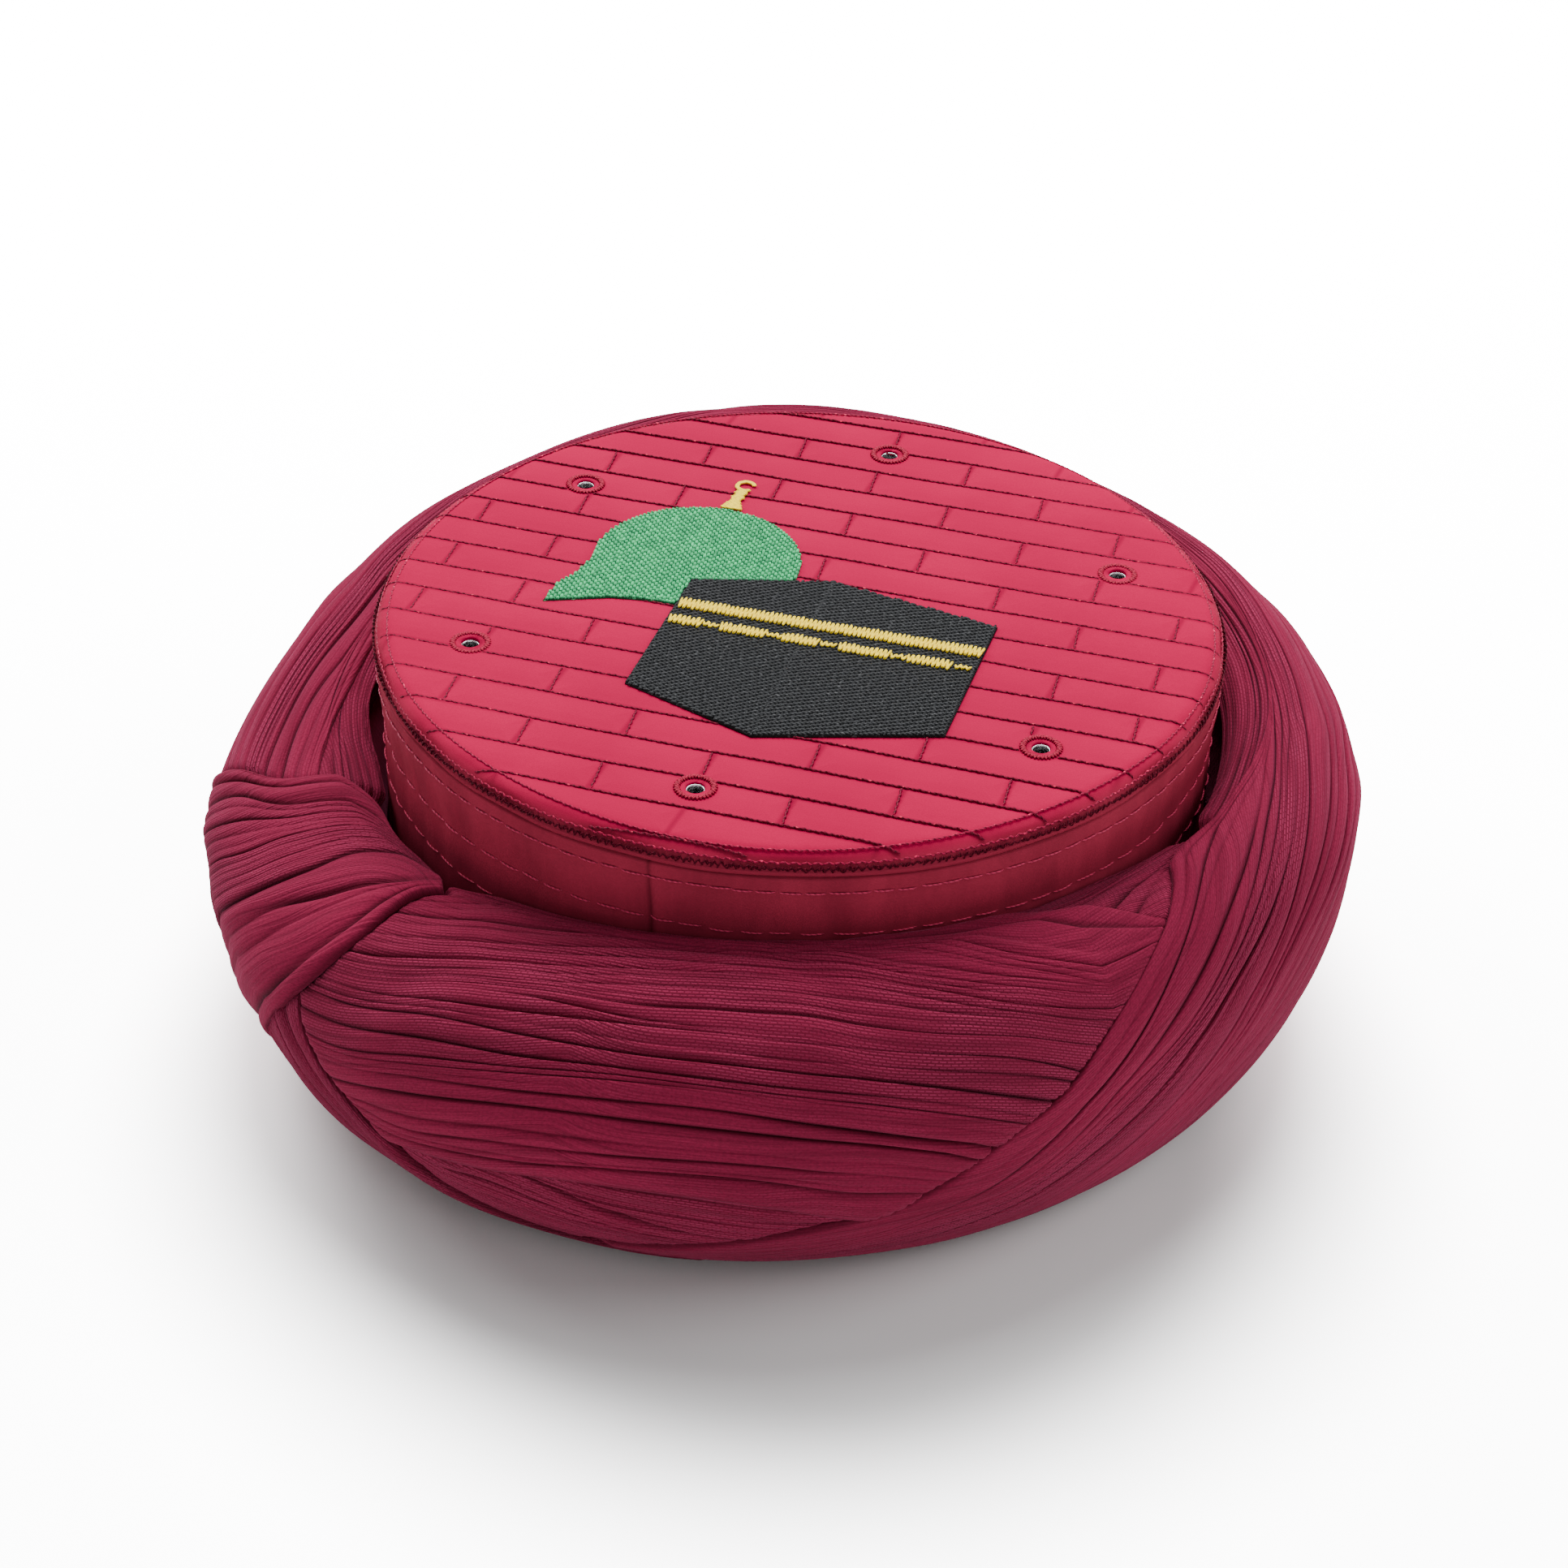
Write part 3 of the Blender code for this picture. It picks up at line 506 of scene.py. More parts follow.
def ring_point(bearing, roll, depth):
    """Points on the wound ring, in metres, at a depth in millimetres below its face."""
    bearing, roll, depth = np.broadcast_arrays(bearing, roll, depth)
    widest, widest_z, ridge, ridge_z, edge_z = (ring_value(bearing, name) for name in RING_COLUMNS[1:])
    turn = np.radians(roll)
    foot = np.where(roll < 0, RING_FOOT, ridge)
    outer_r = foot + (widest - foot) * np.cos(turn)
    outer_z = widest_z + np.where(roll < 0, widest_z, ridge_z - widest_z) * np.sin(turn)
    inner_r = ridge - (ridge - RING_INSIDE) * np.sin(turn - math.pi / 2)
    inner_z = edge_z + (ridge_z - edge_z) * np.cos(turn - math.pi / 2)
    r = np.where(roll > 90, inner_r, outer_r)
    z = np.where(roll > 90, inner_z, outer_z)
    reach = np.hypot(MIDDLE_RADIUS - r, widest_z - z)
    r = r + (MIDDLE_RADIUS - r) * depth / reach
    z = z + (widest_z - z) * depth / reach
    angle = np.radians(bearing)
    return np.stack([r * np.cos(angle), r * np.sin(angle), z], axis=-1) * MM


def waves(seed, count, travel, beats=(60, 28, 13)):
    """Smooth random curves along a travel in millimetres: each is a sum of sines, one for each beat length."""
    rng = np.random.default_rng(seed)
    sizes = 1 / np.arange(1, len(beats) + 1)
    pitch = 2 * math.pi / (np.array(beats) * rng.uniform(0.75, 1.3, (count, len(beats))))
    phase = rng.uniform(0, 2 * math.pi, (count, len(beats)))
    return np.einsum("b,kbs->ks", sizes / sizes.sum(), np.sin(pitch[:, :, None] * travel + phase[:, :, None])) * 1.6


def build_mesh(name, points, face_sets, material, uvs=None, marks=None):
    """A piece from an array of points and arrays of faces, with a corner UV and point marks if given."""
    mesh = bpy.data.meshes.new(name)
    corners = np.concatenate([faces.ravel() for faces in face_sets]).astype(np.int32)
    sizes = np.concatenate([np.full(len(faces), faces.shape[1]) for faces in face_sets])
    starts = np.concatenate([[0], np.cumsum(sizes)[:-1]]).astype(np.int32)
    mesh.vertices.add(len(points))
    mesh.vertices.foreach_set("co", np.asarray(points, np.float32).ravel())
    mesh.loops.add(len(corners))
    mesh.loops.foreach_set("vertex_index", corners)
    mesh.polygons.add(len(sizes))
    mesh.polygons.foreach_set("loop_start", starts)
    mesh.update(calc_edges=True)
    if uvs is not None:
        layer = mesh.uv_layers.new(name="along_across")
        layer.data.foreach_set("uv", np.asarray(uvs, np.float32).ravel())
    for mark, values in (marks or {}).items():
        attribute = mesh.attributes.new(mark, "FLOAT", "POINT")
        attribute.data.foreach_set("value", np.asarray(values, np.float32).ravel())
    mesh.validate()
    mesh.shade_smooth()
    mesh.materials.append(material)
    obj = bpy.data.objects.new(name, mesh)
    bpy.context.scene.collection.objects.link(obj)
    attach(obj, "root")
    return obj


def grid_faces(rows, wide, closed_rows=False, closed_wide=False):
    """Corner indices of a grid's faces, and the same corners in a grid that isn't joined up, for its UV."""
    i, j = np.meshgrid(
        np.arange(rows if closed_rows else rows - 1), np.arange(wide if closed_wide else wide - 1), indexing="ij"
    )
    corners = ((i, j), (i + 1, j), (i + 1, j + 1), (i, j + 1))
    faces = np.stack([(a % rows) * wide + b % wide for a, b in corners], axis=-1).reshape(-1, 4)
    open_wide = wide + (1 if closed_wide else 0)
    open_faces = np.stack([a * open_wide + b for a, b in corners], axis=-1).reshape(-1, 4)
    return faces, open_faces


def grid_piece(name, grid, material, uv=None, marks=None, closed_rows=False, closed_wide=False, flip=False):
    """A piece from a grid of points; uv has one more row or column where the grid is joined up."""
    rows, wide = grid.shape[:2]
    faces, open_faces = grid_faces(rows, wide, closed_rows, closed_wide)
    if flip:
        faces, open_faces = faces[:, ::-1], open_faces[:, ::-1]
    uvs = None if uv is None else uv.reshape(-1, 2)[open_faces]
    marks = {key: np.broadcast_to(value, (rows, wide)) for key, value in (marks or {}).items()}
    return build_mesh(name, grid.reshape(-1, 3), [faces], material, uvs, marks)


def tube_arrays(path, radius, sides=5, closed=False, lump=None):
    """Points, faces and UV of a round thread: a ring of points carried square to the path.

    A lump is the length of one stitch, along which the thread swells and shrinks.
    """
    path = np.asarray(path, float)
    ahead = np.roll(path, -1, axis=0) - np.roll(path, 1, axis=0)
    if not closed:
        ahead[0], ahead[-1] = path[1] - path[0], path[-1] - path[-2]
    ahead /= np.linalg.norm(ahead, axis=1)[:, None]
    side = np.cross(ahead, (0.0, 0.0, 1.0))
    side /= np.maximum(np.linalg.norm(side, axis=1), 1e-9)[:, None]
    rise = np.cross(side, ahead)
    angle = np.arange(sides) * 2 * math.pi / sides
    gone = np.append(0, np.cumsum(np.linalg.norm(np.diff(path, axis=0), axis=1)))
    radius = np.broadcast_to(radius, len(path)).copy()
    if lump:
        radius *= 0.72 + 0.5 * np.abs(np.sin(math.pi * gone / lump))
    if not closed:
        radius[[0, -1]] *= 0.35
    ring = np.cos(angle)[None, :, None] * side[:, None] + np.sin(angle)[None, :, None] * rise[:, None]
    points = path[:, None] + radius[:, None, None] * ring
    faces, open_faces = grid_faces(len(path), sides, closed, True)
    if closed:
        gone = np.append(gone, gone[-1] + np.linalg.norm(path[0] - path[-1]))
    u, v = np.meshgrid(gone, np.linspace(0, 1, sides + 1), indexing="ij")
    uv = np.stack([u, v * MM], axis=-1).reshape(-1, 2)[open_faces]
    ends = None if closed else np.stack([np.arange(sides)[::-1], (len(path) - 1) * sides + np.arange(sides)])
    return points.reshape(-1, 3), faces, ends, uv


def thread_piece(name, paths, radius, material, sides=5, closed=False, lump=None):
    """One piece from many threads, each a path in metres."""
    points, faces, ends, uvs, end_uvs, count = [], [], [], [], [], 0
    for path in paths:
        p, f, e, uv = tube_arrays(path, radius, sides, closed, lump)
        points.append(p)
        faces.append(f + count)
        uvs.append(uv)
        if e is not None:
            ends.append(e + count)
            end_uvs.append(np.zeros((2, sides, 2)))
        count += len(p)
    sets = [np.concatenate(faces)] + ([np.concatenate(ends)] if ends else [])
    all_uvs = np.concatenate([uv.reshape(-1, 2) for uv in uvs + end_uvs])
    return build_mesh(name, np.concatenate(points), sets, material, all_uvs)


def along(points, step):
    """Points spaced evenly along a polyline."""
    points = np.asarray(points, float)
    gone = np.append(0, np.cumsum(np.linalg.norm(np.diff(points, axis=0), axis=1)))
    places = np.linspace(0, gone[-1], max(3, int(round(gone[-1] / step)) + 1))
    return np.stack([np.interp(places, gone, points[:, k]) for k in range(points.shape[1])], axis=1), places


# Shader groups


def add_node(tree, kind, **settings):
    node = tree.nodes.new(kind)
    for key, value in settings.items():
        setattr(node, key, value)
    return node


def feed(tree, socket, value):
    """Sets a socket to a number or colour, or links it to another socket."""
    if isinstance(value, bpy.types.NodeSocket):
        tree.links.new(value, socket)
    else:
        socket.default_value = value


def maths(tree, operation, first, second=0.0):
    node = add_node(tree, "ShaderNodeMath", operation=operation)
    feed(tree, node.inputs[0], first)
    feed(tree, node.inputs[1], second)
    return node.outputs[0]


def times(tree, first, *others):
    for other in others:
        first = maths(tree, "MULTIPLY", first, other)
    return first


def plus(tree, first, *others):
    for other in others:
        first = maths(tree, "ADD", first, other)
    return first


def minus(tree, first, second):
    return maths(tree, "SUBTRACT", first, second)


def from_middle(tree, value):
    """How far the part of a value past its last whole number lies from a half."""
    return maths(tree, "ABSOLUTE", minus(tree, maths(tree, "FRACT", value), 0.5))


def end_distance(tree, part, length):
    """Distance to the nearer end of a length, at a part of it between 0 and 1."""
    return times(tree, maths(tree, "MINIMUM", part, minus(tree, 1.0, part)), length)


def remap(tree, value, low, high, to_low=0.0, to_high=1.0):
    node = add_node(tree, "ShaderNodeMapRange", interpolation_type="SMOOTHSTEP")
    for socket, number in zip(node.inputs[:5], (value, low, high, to_low, to_high)):
        feed(tree, socket, number)
    return node.outputs[0]


def blend_colours(tree, factor, first, second):
    node = add_node(tree, "ShaderNodeMix", data_type="RGBA")
    feed(tree, node.inputs[0], factor)
    feed(tree, node.inputs[6], first)
    feed(tree, node.inputs[7], second)
    return node.outputs[2]


def split(tree, vector):
    node = add_node(tree, "ShaderNodeSeparateXYZ")
    feed(tree, node.inputs[0], vector)
    return node.outputs


def joined(tree, x, y, z=0.0):
    node = add_node(tree, "ShaderNodeCombineXYZ")
    for socket, value in zip(node.inputs, (x, y, z)):
        feed(tree, socket, value)
    return node.outputs[0]


def noise(tree, vector, scale, detail=3.0, roughness=0.55):
    node = add_node(tree, "ShaderNodeTexNoise")
    feed(tree, node.inputs["Vector"], vector)
    for key, value in (("Scale", scale), ("Detail", detail), ("Roughness", roughness)):
        feed(tree, node.inputs[key], value)
    return node.outputs["Fac"]


def shader_group(name, inputs, outputs, build):
    """The shader group of this name, made at its first use: build gets its tree, its inputs and its outputs.

    The first input is the pattern's Vector, and every other one is a number with its default.
    """
    group = bpy.data.node_groups.get(name)
    if group:
        return group
    group = bpy.data.node_groups.new(name, "ShaderNodeTree")
    group.interface.new_socket("Vector", in_out="INPUT", socket_type="NodeSocketVector")
    for label, default in inputs.items():
        group.interface.new_socket(label, in_out="INPUT", socket_type="NodeSocketFloat").default_value = default
    for label in outputs:
        group.interface.new_socket(label, in_out="OUTPUT", socket_type="NodeSocketFloat")
    build(group, add_node(group, "NodeGroupInput").outputs, add_node(group, "NodeGroupOutput").inputs)
    return group


def weave_group():
    """Rows of raised dashes, each row half a dash on from the last, on a cloth's own UV in metres."""

    def build(group, given, result):
        sway = noise(group, given["Vector"], 40.0, 2.0)
        x, y, _ = split(group, given["Vector"])
        row = maths(group, "DIVIDE", plus(group, y, times(group, sway, 0.0012)), given["Row"])
        across = from_middle(group, row)
        shift = times(group, maths(group, "FLOOR", row), given["Slant"])
        lengthwise = from_middle(group, plus(group, maths(group, "DIVIDE", x, given["Dash"]), shift))
        thread = remap(group, across, 0.36, 0.12)
        dash = remap(group, lengthwise, 0.5, 0.34)
        patchy = remap(group, noise(group, given["Vector"], 70.0, 3.0), 0.36, 0.6, 0.5, 1.0)
        feed(group, result["Dashes"], times(group, thread, dash, patchy))

    return shader_group("muslin weave", {"Row": 0.0008, "Dash": 0.0019, "Slant": 0.5}, ("Dashes",), build)


def crepe_group():
    """Fine uneven creases that run along the cloth, from noise drawn out along the UV's first axis."""

    def build(group, given, result):
        x, y, _ = split(group, given["Vector"])
        pitch = maths(group, "DIVIDE", 1.0, given["Spacing"])
        fine = noise(group, joined(group, times(group, x, 22.0), times(group, y, pitch)), 1.0, 4.0, 0.6)
        closer = times(group, y, times(group, pitch, 2.7))
        finer = noise(group, joined(group, times(group, x, 40.0), closer, 4.0), 1.0, 2.0)
        feed(group, result["Height"], plus(group, fine, times(group, finer, 0.4)))
        feed(group, result["Shade"], remap(group, fine, 0.36, 0.52))

    return shader_group("crepe creases", {"Spacing": 0.0022}, ("Height", "Shade"), build)


def twist_group():
    """Strands twisted round a thread: slanted bands on the thread's own UV, and random spots where glints are
    painted.
    """

    def build(group, given, result):
        x, y, _ = split(group, given["Vector"])
        turn = plus(group, maths(group, "DIVIDE", x, given["Pitch"]), maths(group, "DIVIDE", y, 0.001))
        feed(group, result["Height"], remap(group, from_middle(group, turn), 0.5, 0.1))
        feed(group, result["Glint"], remap(group, noise(group, given["Vector"], 900.0, 1.0), 0.62, 0.74))

    return shader_group("twisted strands", {"Pitch": 0.0011}, ("Height", "Glint"), build)


def courses_group():
    """Stitched courses on Object coordinates: a mask that is 1 on the course lines and their staggered joints."""

    def build(group, given, result):
        x, y, _ = split(group, given["Vector"])
        row = maths(group, "DIVIDE", minus(group, FIRST_COURSE_Y * MM, y), given["Course"])
        part = maths(group, "FRACT", row)
        odd = times(group, maths(group, "MODULO", plus(group, maths(group, "FLOOR", row), 40.0), 2.0), 0.5)
        lean = times(group, minus(group, part, 0.5), given["Course"], JOINT_LEAN)
        shifted = plus(group, minus(group, x, JOINT_OFFSET * MM), lean)
        brick = plus(group, maths(group, "DIVIDE", shifted, given["Joint"]), odd, 20.0)
        to_joint = end_distance(group, maths(group, "FRACT", brick), given["Joint"])
        to_course = end_distance(group, part, given["Course"])
        nearest = maths(group, "MINIMUM", to_course, to_joint)
        feed(group, result["Groove"], remap(group, nearest, given["Width"], 0.0))
        feed(group, result["Puff"], remap(group, nearest, 0.0, 0.0045))

    sizes = {"Course": 0.01, "Joint": 0.03918, "Width": 0.0011}
    return shader_group("stitched courses", sizes, ("Groove", "Puff"), build)


def group_node(tree, group, **values):
    node = add_node(tree, "ShaderNodeGroup", node_tree=group)
    for key, value in values.items():
        feed(tree, node.inputs[key], value)
    return node.outputs


def coordinates(tree, kind):
    return add_node(tree, "ShaderNodeTexCoord").outputs[kind]


def point_mark(tree, name):
    return add_node(tree, "ShaderNodeAttribute", attribute_name=name).outputs["Fac"]


# Materials


def start_material(name, roughness, specular=0.12, metallic=0.0, sheen=0.0):
    """A material with its Principled shader, or None for the tree where it was made before."""
    material = bpy.data.materials.get(name)
    if material:
        return material, None, None
    material = bpy.data.materials.new(name)
    material.use_nodes = True
    tree = material.node_tree
    shader = tree.nodes["Principled BSDF"]
    shader.inputs["Roughness"].default_value = roughness
    shader.inputs["Specular IOR Level"].default_value = specular
    shader.inputs["Metallic"].default_value = metallic
    shader.inputs["Sheen Weight"].default_value = sheen
    shader.inputs["Sheen Roughness"].default_value = 0.4
    return material, tree, shader


def bump(tree, shader, height, distance, strength):
    """Gives a shader a bump from a height."""
    node = add_node(tree, "ShaderNodeBump")
    node.inputs["Strength"].default_value = strength
    node.inputs["Distance"].default_value = distance
    feed(tree, node.inputs["Height"], height)
    feed(tree, shader.inputs["Normal"], node.outputs["Normal"])


def rgba(colour, gain=1.0):
    """A colour of three channels with its strength changed, as a socket takes it."""
    return (*(channel * gain for channel in colour), 1.0)


def turn_cloth(name, light=1.0):
    """Crepe muslin: rows of dashes with painted highlights on open cloth that is painted darker where they lie, fine
    creases along the pleats with painted shade in their furrows, and painted shade in the valleys. A light below 1
    gives a darker copy, painted shade for a turn that lies in shade.
    """
    scene = bpy.context.scene
    colours, sizes = scene.turban_colours, scene.turban_sizes
    material, tree, shader = start_material(name, 0.9, 0.06, sheen=0.14)
    if tree is None:
        return material
    shader.inputs["Sheen Tint"].default_value = (1.0, 0.2, 0.42, 1.0)
    uv = coordinates(tree, "UV")
    weave = group_node(tree, weave_group(), Vector=uv, Row=sizes.weave_row, Dash=sizes.weave_dash)
    crepe = group_node(tree, crepe_group(), Vector=uv)
    painted_shade, dashed = point_mark(tree, "painted_shade"), point_mark(tree, "dashes")
    large, grain = noise(tree, uv, 14.0, 2.0), noise(tree, uv, 1500.0, 2.0)
    light_patch, dark_patch = rgba(colours.turn, 1.12 * light), rgba(colours.turn, 0.88 * light)
    base = blend_colours(tree, remap(tree, large, 0.3, 0.7), dark_patch, light_patch)
    base = blend_colours(tree, remap(tree, grain, 0.42, 0.62, 0.0, 0.3), base, rgba(colours.turn, 0.45 * light))
    # Painted shade: the open cloth is darker where it has rows of dashes, for the shade seen through its gaps
    base = blend_colours(tree, times(tree, dashed, 0.42), base, rgba(colours.turn, 0.42 * light))
    # Painted highlight on the raised threads of the dashes
    raised_highlight = times(tree, weave["Dashes"], times(tree, dashed, 0.65))
    base = blend_colours(tree, raised_highlight, base, rgba(colours.turn_light, light))
    # Painted shade in the furrows of the crepe creases
    furrow_shade = times(tree, minus(tree, 1.0, crepe["Shade"]), 0.45)
    base = blend_colours(tree, furrow_shade, base, rgba(colours.turn, 0.5))
    # Painted shade in the valleys of the pleats, on their rolled-under edges and on the hidden layers
    base = blend_colours(tree, times(tree, painted_shade, 0.95), base, rgba(colours.turn, 0.1))
    feed(tree, shader.inputs["Base Color"], base)
    rows = times(tree, weave["Dashes"], dashed, 0.3)
    bump(tree, shader, plus(tree, rows, crepe["Height"], times(tree, grain, 0.15)), 0.0007, 0.9)
    return material


def top_cloth():
    """Smooth satin-weave cloth, pressed down along the stitched courses, with painted shade on its shoulder, which is
    blended towards a darker wall colour.
    """
    scene = bpy.context.scene
    colours, sizes = scene.turban_colours, scene.turban_sizes
    material, tree, shader = start_material("top cloth", 0.7, 0.02)
    if tree is None:
        return material
    place = coordinates(tree, "Object")
    courses = group_node(tree, courses_group(), Vector=place, Course=sizes.course, Joint=sizes.joint)
    fine, patches = noise(tree, place, 2600.0, 2.0), noise(tree, place, 35.0, 3.0)
    base = blend_colours(tree, remap(tree, patches, 0.3, 0.7), rgba(colours.top, 0.93), rgba(colours.top, 1.05))
    base = blend_colours(tree, times(tree, remap(tree, fine, 0.3, 0.7), 0.25), base, rgba(colours.top, 0.72))
    base = blend_colours(tree, times(tree, courses["Groove"], 0.55), base, rgba(colours.top, 0.45))
    # Painted shade: the shoulder is blended towards a darker copy of the wall colour, the more the further it turns
    # down
    base = blend_colours(tree, point_mark(tree, "painted_shade"), base, rgba(colours.wall, 0.9))
    feed(tree, shader.inputs["Base Color"], base)
    height = plus(tree, courses["Puff"], times(tree, fine, 0.1), times(tree, patches, 0.5))
    bump(tree, shader, height, 0.0004, 0.7)
    return material


def wall_cloth():
    """Plain dark cloth with a fine weave and soft wrinkles, and painted shade along the seam and under the top's lip.
    """
    colours = bpy.context.scene.turban_colours
    material, tree, shader = start_material("wall cloth", 0.75, 0.03)
    if tree is None:
        return material
    place = coordinates(tree, "Object")
    fine = noise(tree, place, 2400.0, 2.0)
    x, y, z = split(tree, place)
    upright = joined(tree, times(tree, x, 120.0), times(tree, y, 120.0), times(tree, z, 30.0))
    folds = noise(tree, upright, 1.0, 3.0)
    base = blend_colours(tree, remap(tree, folds, 0.3, 0.7), rgba(colours.wall, 0.85), rgba(colours.wall, 1.12))
    base = blend_colours(tree, times(tree, remap(tree, fine, 0.3, 0.7), 0.2), base, rgba(colours.wall, 0.6))
    # Painted shade in the seam's groove and at the wall's top, under the top's lip
    base = blend_colours(tree, point_mark(tree, "painted_shade"), base, rgba(colours.wall, 0.12))
    feed(tree, shader.inputs["Base Color"], base)
    bump(tree, shader, plus(tree, times(tree, fine, 0.12), folds), 0.0006, 0.6)
    return material


def thread_material(name, colour, roughness=0.5, glint=0.5, pitch=0.0011, specular=0.1, deep=0.55):
    """Twisted thread with painted shade between its strands and small painted glints."""
    material, tree, shader = start_material(name, roughness, specular)
    if tree is None:
        return material
    twist = group_node(tree, twist_group(), Vector=coordinates(tree, "UV"), Pitch=pitch)
    # Painted shade: the thread is darker between its strands, by the share deep
    shade = blend_colours(tree, twist["Height"], rgba(colour, deep), rgba(colour))
    # Painted highlight: bright glints blended in at random spots
    red, *others = colour
    bright = (min(1.0, red * 3.5 + 0.05), *(min(1.0, channel * 2.5 + 0.02) for channel in others))
    base = blend_colours(tree, times(tree, twist["Glint"], glint), shade, rgba(bright))
    feed(tree, shader.inputs["Base Color"], base)
    bump(tree, shader, twist["Height"], 0.0001, 0.8)
    return material


def stitched_material(name, colour, roughness, specular):
    """Filling stitches: each has its own tone at random, with painted shade towards its ends and on the backing, from
    a point mark, and painted glints.
    """
    material, tree, shader = start_material(name, roughness, specular)
    if tree is None:
        return material
    place = coordinates(tree, "Object")
    # The point mark holds each stitch's random tone together with painted shade towards its ends, and deep painted
    # shade on the backing
    base = blend_colours(tree, point_mark(tree, "tone_and_shade"), rgba(colour, 0.12), rgba(colour, 1.3))
    strands = noise(tree, place, 3500.0, 1.0)
    # Painted highlight: glints blended in at random spots
    glints = remap(tree, noise(tree, place, 1100.0, 1.0), 0.62, 0.7, 0.0, 0.55)
    light = tuple(min(1.0, channel * 2 + 0.06) for channel in colour)
    base = blend_colours(tree, glints, base, rgba(light))
    base = blend_colours(tree, remap(tree, strands, 0.55, 0.75, 0.0, 0.35), base, rgba(colour, 0.35))
    feed(tree, shader.inputs["Base Color"], base)
    bump(tree, shader, strands, 0.0001, 0.5)
    return material


def metal_material():
    """Plated metal with fine scratches."""
    colours = bpy.context.scene.turban_colours
    material, tree, shader = start_material("eyelet metal", 0.22, metallic=1.0)
    if tree is None:
        return material
    scratches = noise(tree, coordinates(tree, "Object"), 1800.0, 2.0)
    base = blend_colours(tree, scratches, rgba(colours.metal, 0.8), rgba(colours.metal, 1.1))
    feed(tree, shader.inputs["Base Color"], base)
    feed(tree, shader.inputs["Roughness"], remap(tree, scratches, 0.3, 0.7, 0.15, 0.4))
    return material


# Turns


def ring_strides(bearing, roll):
    """Distances in millimetres from each place on the ring to the next."""
    return np.hypot(np.diff(bearing) * MM_PER_BEARING, np.diff(roll) * MM_PER_ROLL)


def long_edges(rows, step):
    """Low and high edges of a turn that runs round the ring, at even bearings."""
    table = columns(TURN_COLUMNS, rows)
    count = int(round((table["bearing"][-1] - table["bearing"][0]) * MM_PER_BEARING / step)) + 1
    bearing = np.linspace(table["bearing"][0], table["bearing"][-1], count)
    low, high = (smooth(bearing, table["bearing"], table[name]) for name in TURN_COLUMNS[1:])
    return bearing, low, bearing, high, bearing


def cross_edges(rows, step):
    """Low and high edges of a piece that crosses the ring."""
    table = columns(CROSS_COLUMNS, rows)
    knots = np.arange(len(rows))
    dense = np.linspace(0, knots[-1], 400)
    edges = np.stack([smooth(dense, knots, table[name]) for name in CROSS_COLUMNS])
    low, high = (ring_strides(*edge) for edge in (edges[:2], edges[2:]))
    gone = np.append(0, np.cumsum((low + high) / 2))
    places = np.linspace(0, gone[-1], int(round(gone[-1] / step)) + 1)
    return (*(np.interp(places, gone, edge) for edge in edges), np.interp(places, gone, dense))


def outline_of(edges):
    """The border of a turn, in bearing and roll: up the low edge and back down the high one."""
    low_bearing, low_roll, high_bearing, high_roll = (edge[::4] for edge in edges[:4])
    return np.stack([np.append(low_bearing, high_bearing[::-1]), np.append(low_roll, high_roll[::-1])], axis=1)


def inside_by(outline, bearing, roll):
    """How far each place lies inside a border, in millimetres, less than nothing outside it."""
    middle = outline[:, 0].mean()
    bearing = (bearing - middle + 180) % 360 - 180 + middle
    scale = np.array([MM_PER_BEARING, MM_PER_ROLL])
    start = outline * scale
    step = np.roll(start, -1, axis=0) - start
    places = np.stack([bearing.ravel(), roll.ravel()], axis=1) * scale
    nearest, inside = np.full(len(places), 1e9), np.zeros(len(places), bool)
    for (x, y), (dx, dy) in zip(start, step):
        px, py = places[:, 0] - x, places[:, 1] - y
        t = np.clip((px * dx + py * dy) / max(dx * dx + dy * dy, 1e-9), 0, 1)
        nearest = np.minimum(nearest, np.hypot(px - t * dx, py - t * dy))
        if abs(dy) > 1e-9:
            crosses = (py >= 0) != (py >= dy)
            inside ^= crosses & (px < py * dx / dy)
    return np.where(inside, nearest, -nearest).reshape(bearing.shape)


def measured_folds(name, edges, width):
    """Valleys of the folds table and the two edges: places as shares of the width, depths, pleats and dash shares."""
    _, low, _, high, station = edges
    places, depths = [0 * width], [0 * width + 0.1]
    pleats, dashes = [PLEAT_ROWS[name][0]], [0.8]
    if name in FOLD_ROWS:
        pleats, dashes = ([value] for value in LOWEST_BAND[name])
        for line, deep, above, dash in FOLD_ROWS[name]:
            place = smooth(station, FOLD_ALONG[name], line)
            places.append(place if name == "side_fold" else (place - low) / (high - low))
            depths.append(smooth(station, FOLD_ALONG[name], deep) / 10)
            pleats.append(above)
            dashes.append(dash)
    places, depths = np.array([*places, 0 * width + 1]), np.array([*depths, 0 * width + 0.1])
    gap = LEAST_GAP / width
    rank = np.arange(len(places))[:, None] * gap
    places = np.maximum.accumulate(places - rank, axis=0) + rank
    places = np.minimum(places, 1 - rank[::-1])
    return places, depths, np.array(pleats), np.array(dashes)


def pleat_sides(part):
    """Shares of the lower and the upper valley's depth at a part of a pleat: a steep side, then a gentle one."""
    steep = np.clip(1 - part / STEEP_PART, 0, 1) ** 1.4
    gentle = np.clip((part - 1 + GENTLE_PART) / GENTLE_PART, 0, 1) ** 2.6
    return steep, gentle


